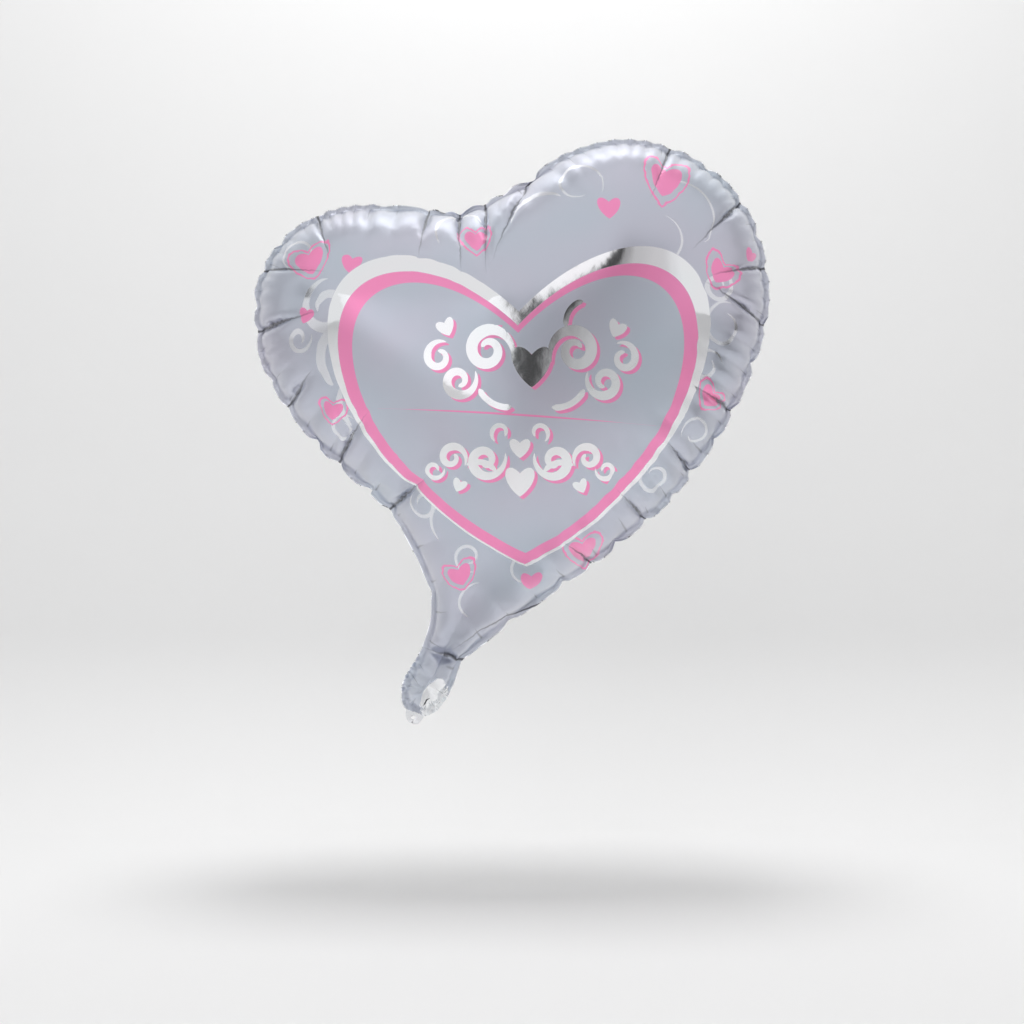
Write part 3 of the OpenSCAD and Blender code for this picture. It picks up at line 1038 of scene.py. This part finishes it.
def outer_print_group(finder, heart, scroll):
    """The print round the big heart, from a point of the flat film in millimetres: a mask of the
    bare foil and a mask of the pink ink. The big heart is a pink border with a crescent of bare
    foil behind it; round it are foil scrolls and small pink hearts. A patch of bare foil round
    the inlet, on the tail's end, is a painted highlight."""
    middle, half, tall, tilt = big_heart(finder)
    small, rings, filigree = [], [], []
    for x, z, size, lean, ringed in SMALL_HEARTS:
        wide, high = finder.grown(x, z)
        x, z = finder.find(x, z)
        size *= min(wide, 1.5)
        share = min(max(high / wide, 0.8), 1.25)
        small.append((x, z, size * (0.68 if ringed else 1), share, lean))
        if ringed:
            rings.append((x, z, size, share, lean))
    for x, z, *stroke in FILIGREE:
        filigree.append((*finder.find(x, z), *stroke))
    swirls = fields_group("Filigree", heart, scroll, [], filigree)
    solid = fields_group("Small Hearts", heart, scroll, small, [])
    drawn = fields_group("Drawn Hearts", heart, scroll, rings, [])
    group, tree, given, out = new_group("Outer Print", [("Point", "Vector", None)],
                                        [("Foil", "Float"), ("Pink", "Float")])
    point = given["Point"]

    def big(shift_x, shift_y, size, height):
        return tree.mask(tree.call(
            heart, Point=point, Centre=(middle[0] + shift_x, middle[1] + shift_y, 0),
            Half_Width=half * size, Tall=tall * height, Tilt=tilt)[0])

    def less(value, taken):
        return tree.math("MULTIPLY", value, tree.math("SUBTRACT", 1.0, taken))

    solid_mask = tree.mask(tree.call(solid, Point=point)[0])
    wobble = tree.math("MULTIPLY_ADD", tree.noise(point, 0.16, 1.0), 3.0, -1.5)
    ring_field = tree.math("ADD", tree.call(drawn, Point=point)[0], wobble)
    ring = tree.mask(tree.math("SUBTRACT", tree.math("ABSOLUTE", ring_field), 0.75))
    motif = tree.math("MAXIMUM", ring, solid_mask)
    swirl = less(tree.mask(tree.call(swirls, Point=point)[0]), motif)
    rim = big(1.0, 6.5, 1.068, 1.0)
    pink_heart = big(0, 0, 1.0, 1.0)
    inner = big(0, -0.5, HEART_INNER, 1.0)
    # painted highlight: a noisy patch of bare foil round the inlet, on the tail's end
    x, z = finder.find(14, 13)
    away = tree.vector("SUBTRACT", point, (x, z, 0))
    painted_highlight_patch = tree.math("MULTIPLY_ADD", tree.noise(point, 0.09, 2.0), 12.0, -20.5)
    painted_highlight_patch = tree.mask(tree.math("ADD", tree.vector("LENGTH", away, out="Value"), painted_highlight_patch), 1.2)
    swirl = tree.math("MULTIPLY", less(swirl, rim), 0.6)
    foil = tree.math("MAXIMUM", less(rim, pink_heart), swirl)
    tree.feed(out["Foil"], tree.math("MAXIMUM", foil, painted_highlight_patch))
    tree.feed(out["Pink"], tree.math("MAXIMUM", less(pink_heart, inner), less(motif, rim)))
    return group


def inner_print_group(finder, heart, scroll):
    """The print inside the big heart: two rows of bare-foil ornament, each with a pink shadow
    to its lower right, and a thin pink line between them that tapers at both ends."""
    group, tree, given, out = new_group("Inner Print", [("Point", "Vector", None)],
                                        [("Foil", "Float"), ("Pink", "Float")])
    point = given["Point"]
    stroke, shadow = 0.0, 0.0
    rows = (("Row One", ROW_ONE_HEARTS, ROW_ONE_SCROLLS, finder.find(87, 260)),
            ("Row Two", ROW_TWO_HEARTS, ROW_TWO_SCROLLS, finder.find(78, 184)))
    for name, hearts, scrolls, (x, z) in rows:
        field = fields_group(name, heart, scroll, hearts, scrolls, True)
        here = tree.vector("SUBTRACT", point, (x, z, 0))
        stroke = tree.math("MAXIMUM", stroke, tree.mask(tree.call(field, Point=here)[0]))
        aside = tree.vector("SUBTRACT", point, (x + 2.6, z - 2.2, 0))
        shadow = tree.math("MAXIMUM", shadow, tree.mask(tree.call(field, Point=aside)[0]))
    start, end = finder.find(-10, 225), finder.find(154, 215)
    lean = math.atan2(end[1] - start[1], end[0] - start[0])
    from_start = tree.vector("SUBTRACT", point, (start[0], start[1], 0))
    turned = tree.add("ShaderNodeVectorRotate", {"Vector": from_start, "Angle": -lean},
                      rotation_type="Z_AXIS").outputs[0]
    along, aside, _ = tree.split(turned)
    share = tree.math("DIVIDE", along, float(np.linalg.norm(end - start)))
    hump = tree.math("MULTIPLY", share, tree.math("SUBTRACT", 1.0, share))
    half_width = tree.math("MULTIPLY", tree.math("MAXIMUM", hump, 0.0), 3.2)
    line = tree.mask(tree.math("SUBTRACT", tree.math("ABSOLUTE", aside), half_width))
    pink = tree.math("MULTIPLY", tree.math("MAXIMUM", shadow, line),
                     tree.math("SUBTRACT", 1.0, stroke))
    tree.feed(out["Foil"], stroke)
    tree.feed(out["Pink"], pink)
    return group


def crinkle_group():
    """Height of the foil's fine wrinkles: folds that run in from the weld and fade with the
    distance from it, and a faint unevenness all over. Also a mask of the sharp folds, where
    little light gets in, for painted shade in them: the long creases, and a short one of its own
    length at each ripple of the weld. Takes the flat place in millimetres, the seam map and the
    crease map; Shift is the place of the short folds in a ripple."""
    group, tree, given, out = new_group("Foil Crinkle", [
        ("Point", "Vector", None), ("Seam", "Vector", None), ("Crease", "Vector", None),
        ("Shift", "Float", 0.25)],
        [("Height", "Float"), ("Edge", "Float"), ("Fold", "Float")])
    waves, gap, _ = tree.split(given["Seam"])
    rays = tree.join(tree.math("MULTIPLY", waves, 2.4), tree.math("MULTIPLY", gap, 1.3))
    folds = tree.noise(rays, 1.6, 3.0, 0.55, 0.25)
    fade = tree.math("POWER", tree.math("SUBTRACT", 1.0, tree.math(
        "MULTIPLY", tree.math("MAXIMUM", gap, 0.0), 2.4), clamp=True), 1.5)
    folds = tree.math("MULTIPLY", folds, fade)
    fine = tree.noise(given["Point"], 0.045, 2.0)
    small = tree.noise(given["Point"], 0.5, 3.0)
    uneven = tree.math("MULTIPLY", tree.math("MULTIPLY_ADD", small, 0.05, fine), 0.5)

    aside, share, _ = tree.split(given["Crease"])
    bend = tree.math("MULTIPLY_ADD", tree.noise(given["Point"], 0.12, 2.0), 0.16, -0.08)
    narrow = tree.math("MAXIMUM", tree.math("MULTIPLY_ADD", share, -0.09, 0.135), 0.045)
    off = tree.math("DIVIDE", tree.math("ADD", aside, bend), narrow)
    long = tree.math("SUBTRACT", 1.0, tree.math("MULTIPLY", off, off), clamp=True)
    long = tree.math("MULTIPLY", long, tree.math("MULTIPLY_ADD", share, -1.7, 1.7, clamp=True))
    long = tree.math("MULTIPLY", long, tree.math("MULTIPLY_ADD", share, 6.0, 1.0, clamp=True))

    place = tree.math("ADD", waves, given["Shift"])
    number = tree.math("ROUND", place)
    own = tree.add("ShaderNodeTexWhiteNoise", {"W": number}, noise_dimensions="1D")
    reach = tree.math("MULTIPLY_ADD", tree.math("POWER", own.outputs[0], 2.0), 0.14, 0.045)
    left = tree.math("SUBTRACT", 1.0, tree.math("DIVIDE", gap, reach), clamp=True)
    off = tree.math("ABSOLUTE", tree.math("SUBTRACT", place, number))
    short = tree.math("SUBTRACT", 1.0, tree.math("DIVIDE", off, tree.math(
        "MULTIPLY_ADD", left, 0.05, 0.012)), clamp=True)
    short = tree.math("MULTIPLY", short, tree.math("POWER", left, 0.7))
    inside = tree.math("MULTIPLY", gap, 90.0, clamp=True)
    short = tree.math("MULTIPLY", tree.math("MULTIPLY", short, inside), 0.75)
    fold = tree.math("MAXIMUM", long, short)
    height = tree.math("ADD", folds, uneven)
    tree.feed(out["Height"], tree.math("MULTIPLY_ADD", fold, -0.7, height))
    tree.feed(out["Edge"], tree.math("MULTIPLY", tree.math(
        "SUBTRACT", -0.038, gap), 150.0, clamp=True))
    # the fold mask, which the films use for painted shade in the sharp folds
    tree.feed(out["Fold"], fold)
    return group


def painted_fold_shade(tree, colour, fold):
    """The colour, darker where the fold mask is high: painted shade in the sharp folds."""
    return tree.blend(tree.math("MULTIPLY", fold, 0.85), colour, (0.05, 0.052, 0.06, 1))


def film_coordinates(tree):
    """Place on the flat film in millimetres from the map 'flat', and the other two maps."""
    flat = tree.add("ShaderNodeUVMap", uv_map="flat").outputs[0]
    span = FLAT_SPAN / MM
    corner = FLAT_CORNER / MM
    point = tree.vector("MULTIPLY_ADD", flat, (span, span, 0), (corner[0], corner[1], 0))
    seam = tree.add("ShaderNodeUVMap", uv_map="seam").outputs[0]
    return point, seam, tree.add("ShaderNodeUVMap", uv_map="crease").outputs[0]


def new_material(name):
    material = bpy.data.materials.new(name)
    material.use_nodes = True
    material.node_tree.nodes.clear()
    tree = Tree(material.node_tree)
    shader = tree.add("ShaderNodeBsdfPrincipled")
    tree.add("ShaderNodeOutputMaterial", {"Surface": shader.outputs[0]})
    return material, tree, shader.inputs


def tinted(tree, point, colour, scale, strength):
    """The colour with a slow drift between a cool and a warm cast of it."""
    cool = (colour[0] * (1 - strength), colour[1] * (1 + strength * 0.3),
            colour[2] * (1 + strength * 0.5), 1)
    warm = (colour[0] * (1 + strength), colour[1] * (1 - strength * 0.3),
            colour[2] * (1 + strength * 0.4), 1)
    drift = tree.noise(point, scale, 1.0)
    drift = tree.math("MULTIPLY_ADD", tree.math("SUBTRACT", drift, 0.5), 2.2, 0.5, clamp=True)
    return tree.blend(drift, cool, warm)


def printed_film(name, colours, pattern, crinkle):
    """Foil with satin grey and pink ink over it, and bare mirror areas."""
    material, tree, into = new_material(name)
    point, seam, crease = film_coordinates(tree)
    marks = tree.call(pattern, Point=point)
    shape = tree.call(crinkle, Point=point, Seam=seam, Crease=crease, Shift=0.25)
    foil = tree.math("MAXIMUM", marks["Foil"], shape["Edge"])
    grey = tinted(tree, point, colours.grey, 0.012, 0.045)
    pink = tinted(tree, point, colours.pink, 0.02, 0.03)
    bare = tinted(tree, point, colours.foil, 0.02, 0.02)
    ink = tree.blend(marks["Pink"], grey, pink)
    # painted shade: the colour is darkened in the sharp folds
    tree.feed(into["Base Color"], painted_fold_shade(tree, tree.blend(foil, ink, bare), shape["Fold"]))
    grain = tree.noise(point, 1.8, 3.0)
    ink_rough = tree.math("MULTIPLY_ADD", grain, 0.06, 0.27)
    foil_rough = tree.math("MULTIPLY_ADD", grain, 0.05, 0.05)
    ink_share = tree.math("SUBTRACT", 1.0, foil)
    rough = tree.math("ADD", tree.math("MULTIPLY", ink_rough, ink_share),
                      tree.math("MULTIPLY", foil_rough, foil))
    tree.feed(into["Roughness"], rough)
    tree.feed(into["Metallic"], tree.math("MULTIPLY_ADD", foil, 0.15, 0.85))
    into["Coat Weight"].default_value = 0.22
    into["Coat Roughness"].default_value = 0.12
    bump = tree.add("ShaderNodeBump", {"Strength": 0.55, "Distance": 0.0006,
                                       "Height": shape["Height"]})
    tree.feed(into["Normal"], bump.outputs[0])
    return material


def silver_film(colours, crinkle):
    """Plain bare foil, for the back and the tab."""
    material, tree, into = new_material("Silver Film")
    point, seam, crease = film_coordinates(tree)
    shape = tree.call(crinkle, Point=point, Seam=seam, Crease=crease, Shift=-0.25)
    bare = tinted(tree, point, colours.foil, 0.02, 0.03)
    # painted shade: the colour is darkened in the sharp folds
    tree.feed(into["Base Color"], painted_fold_shade(tree, bare, shape["Fold"]))
    grain = tree.noise(point, 1.8, 3.0)
    tree.feed(into["Roughness"], tree.math("MULTIPLY_ADD", grain, 0.08, 0.10))
    into["Metallic"].default_value = 1.0
    bump = tree.add("ShaderNodeBump", {"Strength": 0.55, "Distance": 0.0006,
                                       "Height": shape["Height"]})
    tree.feed(into["Normal"], bump.outputs[0])
    return material


def clear_film(colours):
    """Clear valve film with a milky cast, a little wavy."""
    material, tree, into = new_material("Valve Film")
    place = tree.add("ShaderNodeTexCoord").outputs["Object"]
    cloud = tree.noise(place, 140.0, 2.0)
    colour = tree.blend(cloud, (*colours.valve, 1), tuple(v * 0.9 for v in colours.valve) + (1,))
    tree.feed(into["Base Color"], colour)
    tree.feed(into["Roughness"], tree.math("MULTIPLY_ADD", cloud, 0.10, 0.12))
    tree.feed(into["Alpha"], tree.math("MULTIPLY_ADD", cloud, 0.2, 0.35))
    bump = tree.add("ShaderNodeBump", {"Strength": 0.3, "Distance": 0.0004, "Height": cloud})
    tree.feed(into["Normal"], bump.outputs[0])
    return material


# ---------------------------------------------------------------- operators

MATERIALS = {}


class BALLOON_OT_films(bpy.types.Operator):
    """Inflates the two welded films and prints the front one"""
    bl_idname = "balloon.films"
    bl_label = "Balloon Films"

    def execute(self, context):
        sizes, colours = context.scene.balloon_sizes, context.scene.balloon_colours
        parts = envelope(sizes)
        shape = inflated(parts)
        shape = pinched(fitted(shape, parts))
        faces = np.r_[parts["front"], parts["back"]]
        fixed = np.r_[np.arange(parts["count"] + parts["slit"]),
                      np.arange(parts["band"], len(shape))]
        shape = puckered(calmed(shape, faces, fixed), parts, sizes)
        crinkle = crinkle_group()
        finder = FlatFinder(shape, parts, context.scene.balloon_stage)
        heart, scroll = heart_group(), scroll_group()
        MATERIALS["printed"] = printed_film(
            "Printed Film", colours, outer_print_group(finder, heart, scroll), crinkle)
        middle_print = printed_film(
            "Printed Film Middle", colours, inner_print_group(finder, heart, scroll), crinkle)
        MATERIALS["silver"] = silver_film(colours, crinkle)
        films = [("front_film", "front", "printed", ("front_panel", "tail_front")),
                 ("back_film", "back", "silver", ("back_panel", "tail_back"))]
        for name, side, finish, stands_for in films:
            film = film_object(name, side, shape, parts, sizes, MATERIALS[finish])
            if side == "front":
                print_middle(film, finder, middle_print)
            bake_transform(film)
            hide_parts(*stands_for)
        return {"FINISHED"}


class BALLOON_OT_tab(bpy.types.Operator):
    """Adds the fused tab with the tie hole at the end of the tail"""
    bl_idname = "balloon.tab"
    bl_label = "Tie Tab"

    def execute(self, context):
        sizes = context.scene.balloon_sizes
        overlap = 0.0014  # how far the tab runs up between the films
        fold = TAB_FOLD[1] - TAB_FOLD[0]
        up = np.array([-fold[1], fold[0]]) / np.linalg.norm(fold)
        top = TAB_FOLD + up * overlap
        corners = np.r_[top, TAB_FOLD[1:], TAB_EDGE, TAB_FOLD[:1]]
        far = travelled(corners)
        count, rows, hole = 72, 7, 0.0015  # points round, rings, and the tie hole's radius
        wave_height, wave_rate = 0.00022, 900
        at = np.interp(np.linspace(0, far[-1], count, endpoint=False), far,
                       np.arange(len(corners) + 1))
        rim = on_line(corners, at)
        rim = closed_mean(rim, 1)
        angle = np.arctan2(rim[:, 1], rim[:, 0])
        ring = hole * np.stack([np.cos(angle), np.sin(angle)], 1)
        share = np.linspace(0, 1, rows)[:, None, None]
        flat = ring * (1 - share) + rim * share
        flat = flat.reshape(-1, 2)
        below_hole = smooth_step(0.002, 0.005, -flat[:, 1])
        wave = wave_height * np.sin(flat[:, 0] * wave_rate) * below_hole
        half = sizes.tab_thickness / 2
        front = np.c_[flat[:, 0], wave - half, flat[:, 1]]
        back = np.c_[flat[:, 0], wave + half, flat[:, 1]]
        i, k = np.meshgrid(np.arange(rows - 1), np.arange(count), indexing="ij")
        after = (k + 1) % count
        quads = np.stack([i * count + k, i * count + after, (i + 1) * count + after,
                          (i + 1) * count + k], 2).reshape(-1, 4)
        size = rows * count
        k = np.arange(count)
        after = (k + 1) % count
        outer = (rows - 1) * count
        rim_faces = np.stack([outer + k, outer + after, size + outer + after,
                              size + outer + k], 1)
        hole_faces = np.stack([k, size + k, size + after, after], 1)
        faces = np.r_[quads[:, ::-1], quads + size, rim_faces[:, ::-1], hole_faces[:, ::-1]]
        tab = new_object("tie_tab_film", np.r_[front, back], faces, MATERIALS["silver"])
        both = np.r_[flat, flat]
        add_map(tab, "flat", (both - FLAT_CORNER) / FLAT_SPAN)
        away = np.ones(len(both))
        add_map(tab, "seam", np.stack([both[:, 0] * 10, away], 1))
        add_map(tab, "crease", np.stack([away, away], 1))
        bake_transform(tab)
        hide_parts("tie_tab")
        return {"FINISHED"}


class BALLOON_OT_valve(bpy.types.Operator):
    """Gives the two valve plies inside the tail their clear film"""
    bl_idname = "balloon.valve"
    bl_label = "Valve Plies"

    def execute(self, context):
        material = clear_film(context.scene.balloon_colours)
        for name in ("valve_front_ply", "valve_rear_ply"):
            ply = frame["nodes"][name]
            ply.data.materials.clear()
            ply.data.materials.append(material)
        return {"FINISHED"}


def stage_material(colours):
    """Matt white with a faint mottle, and painted light that makes it a little lighter up the
    wall. Its back is clear, so the wall hides nothing when it is looked at from behind."""
    material, tree, into = new_material("Backdrop")
    place = tree.add("ShaderNodeTexCoord").outputs["Object"]
    mottle = tree.noise(place, 3.0, 2.0)
    # painted light: the colour grows lighter up the wall, standing in for light on it
    height = tree.split(place)[2]
    rise = tree.math("MULTIPLY_ADD", height, 4.0, 0.3, clamp=True)
    share = tree.math("ADD", tree.math("MULTIPLY", mottle, 0.15), rise, clamp=True)
    base = tuple(colours.backdrop)
    tree.feed(into["Base Color"], tree.blend(share, (*base, 1),
                                             tuple(v * 1.04 for v in base) + (1,)))
    into["Roughness"].default_value = 0.9
    into["Specular IOR Level"].default_value = 0.1
    behind = tree.add("ShaderNodeNewGeometry").outputs["Backfacing"]
    shader = next(n for n in material.node_tree.nodes if n.type == "BSDF_PRINCIPLED")
    output = next(n for n in material.node_tree.nodes if n.type == "OUTPUT_MATERIAL")
    clear = tree.add("ShaderNodeBsdfTransparent")
    mixed = tree.add("ShaderNodeMixShader", {0: behind, 1: shader.outputs[0],
                                             2: clear.outputs[0]})
    tree.feed(output.inputs["Surface"], mixed.outputs[0])
    return material


def card(name, place, aim, width, height, stops):
    """Upright card that only reflections see. stops are (share of the way across, brightness)."""
    material = bpy.data.materials.new(name)
    material.use_nodes = True
    material.node_tree.nodes.clear()
    tree = Tree(material.node_tree)
    across = tree.split(tree.add("ShaderNodeUVMap", uv_map="card").outputs[0])[0]
    shades = tree.add("ShaderNodeValToRGB", {"Fac": across})
    shades.color_ramp.interpolation = "EASE"
    elements = shades.color_ramp.elements
    for number, (share, value) in enumerate(stops):
        element = elements[number] if number < 2 else elements.new(share)
        element.position = share
        element.color = (value, value, value * 1.01, 1)
    light = tree.add("ShaderNodeEmission", {"Color": shades.outputs[0], "Strength": 1.0})
    tree.add("ShaderNodeOutputMaterial", {"Surface": light.outputs[0]})
    toward = (Vector(aim) - Vector(place)).normalized()
    side = toward.cross(Vector((0, 0, 1))).normalized()
    up = side.cross(toward)
    corners = [Vector(place) + side * width / 2 * a + up * height / 2 * b
               for a, b in ((-1, -1), (1, -1), (1, 1), (-1, 1))]
    made = new_object(name, [tuple(c) for c in corners], [(0, 1, 2, 3)], material, False)
    add_map(made, "card", np.array([[0, 0], [1, 0], [1, 1], [0, 1]], float))
    made.visible_camera = made.visible_diffuse = made.visible_shadow = False
    return made


def area_light(name, place, aim, size, size_y, power):
    lamp = bpy.data.lights.new(name, "AREA")
    lamp.shape = "RECTANGLE"
    lamp.size, lamp.size_y, lamp.energy = size, size_y, power
    made = bpy.data.objects.new(name, lamp)
    made.location = place
    made.rotation_mode = "QUATERNION"
    made.rotation_quaternion = (Vector(aim) - Vector(place)).to_track_quat("-Z", "Y")
    bpy.context.scene.collection.objects.link(made)
    return made


class BALLOON_OT_stage(bpy.types.Operator):
    """Sets up the floor, wall, cards, lights, world and the level camera"""
    bl_idname = "balloon.stage"
    bl_label = "Stage"

    def execute(self, context):
        stage, colours = context.scene.balloon_stage, context.scene.balloon_colours
        near, bend, half, top = -4.0, 0.16, 4.0, 3.2
        turn = np.linspace(0, np.pi / 2, 13)
        profile = np.r_[
            [[near, stage.floor_z]],
            np.stack([stage.wall_y - bend + bend * np.sin(turn),
                      stage.floor_z + bend - bend * np.cos(turn)], 1),
            [[stage.wall_y, top]]]
        rows = len(profile)
        left = np.c_[np.full(rows, -half), profile]
        right = np.c_[np.full(rows, half), profile]
        i = np.arange(rows - 1)
        quads = np.stack([i, rows + i, rows + i + 1, i + 1], 1)
        backdrop = new_object("backdrop", np.r_[left, right], quads, stage_material(colours))
        middle = (stage.aim_x, 0, stage.aim_z)
        # Bright on the left, a dark gap in the middle, light grey on the right
        card("front_card", (0.14, -2.6, 0.3), middle, 5.0, 3.4,
             [(0.0, 0.95), (1.0, 0.8), (0.30, 1.1), (0.465, 1.0), (0.49, 0.07), (0.516, 0.05),
              (0.54, 0.34), (0.62, 0.52), (0.82, 0.60)])
        card("left_card", (-1.5, -0.5, 0.75), middle, 0.30, 0.5,
             [(0.0, 0.6), (1.0, 0.6), (0.5, 0.1)])
        card("right_card", (1.3, 0.1, -0.05), middle, 0.6, 0.5,
             [(0.0, 0.7), (1.0, 0.7), (0.5, 0.12)])
        lamps = [
            area_light("top_light", (0.085, 0.05, 1.35), (0.085, 0.05, 0), 0.42, 0.55, 8.5),
            area_light("front_light", (-0.6, -2.2, 1.6), middle, 1.6, 1.6, 5),
            area_light("wall_light", (0.07, -0.7, 1.6), (0.07, stage.wall_y, 0.25), 0.8, 0.5, 1.5),
        ]
        for lamp in lamps:
            lamp.visible_glossy = False
        world = bpy.data.worlds.new("Studio")
        world.use_nodes = True
        surround = world.node_tree.nodes["Background"]
        sky = Tree(world.node_tree)
        reflected = sky.add("ShaderNodeLightPath").outputs["Is Glossy Ray"]
        sky.feed(surround.inputs[0], (1.0, 1.0, 1.0, 1))
        sky.feed(surround.inputs[1], sky.math("MULTIPLY_ADD", reflected, 0.20, 0.62))
        context.scene.world = world
        lens = bpy.data.cameras.new("camera")
        lens.sensor_width = 36.0
        lens.lens = lens.sensor_width * stage.distance / stage.view_width
        camera = bpy.data.objects.new("camera", lens)
        camera.location = (stage.aim_x, -stage.distance, stage.aim_z)
        camera.rotation_euler = (math.pi / 2, 0, 0)
        context.scene.collection.objects.link(camera)
        context.scene.camera = camera
        context.scene.view_settings.view_transform = "Standard"
        return {"FINISHED"}


class BALLOON_PT_panel(bpy.types.Panel):
    """Lists the balloon's sizes, colours and operators"""
    bl_label = "Heart Foil Balloon"
    bl_idname = "BALLOON_PT_panel"
    bl_space_type = "VIEW_3D"
    bl_region_type = "UI"
    bl_category = "Balloon"

    def draw(self, context):
        for group in ("balloon_sizes", "balloon_colours", "balloon_stage"):
            settings = getattr(context.scene, group)
            box = self.layout.box()
            for name in type(settings).__annotations__:
                box.prop(settings, name)
        for operator in OPERATORS:
            self.layout.operator(operator.bl_idname)


GROUPS = {"balloon_sizes": BalloonSizes, "balloon_colours": BalloonColours,
          "balloon_stage": BalloonStage}
OPERATORS = (BALLOON_OT_films, BALLOON_OT_tab, BALLOON_OT_valve, BALLOON_OT_stage)


def register():
    for name, group in GROUPS.items():
        bpy.utils.register_class(group)
        setattr(bpy.types.Scene, name, bpy.props.PointerProperty(type=group))
    for shown in (*OPERATORS, BALLOON_PT_panel):
        bpy.utils.register_class(shown)


def unregister():
    for shown in (BALLOON_PT_panel, *reversed(OPERATORS)):
        bpy.utils.unregister_class(shown)
    for name, group in GROUPS.items():
        delattr(bpy.types.Scene, name)
        bpy.utils.unregister_class(group)


def main():
    register()
    bpy.ops.balloon.films()
    bpy.ops.balloon.tab()
    bpy.ops.balloon.valve()
    bpy.ops.balloon.stage()


if __name__ == "__main__":
    main()
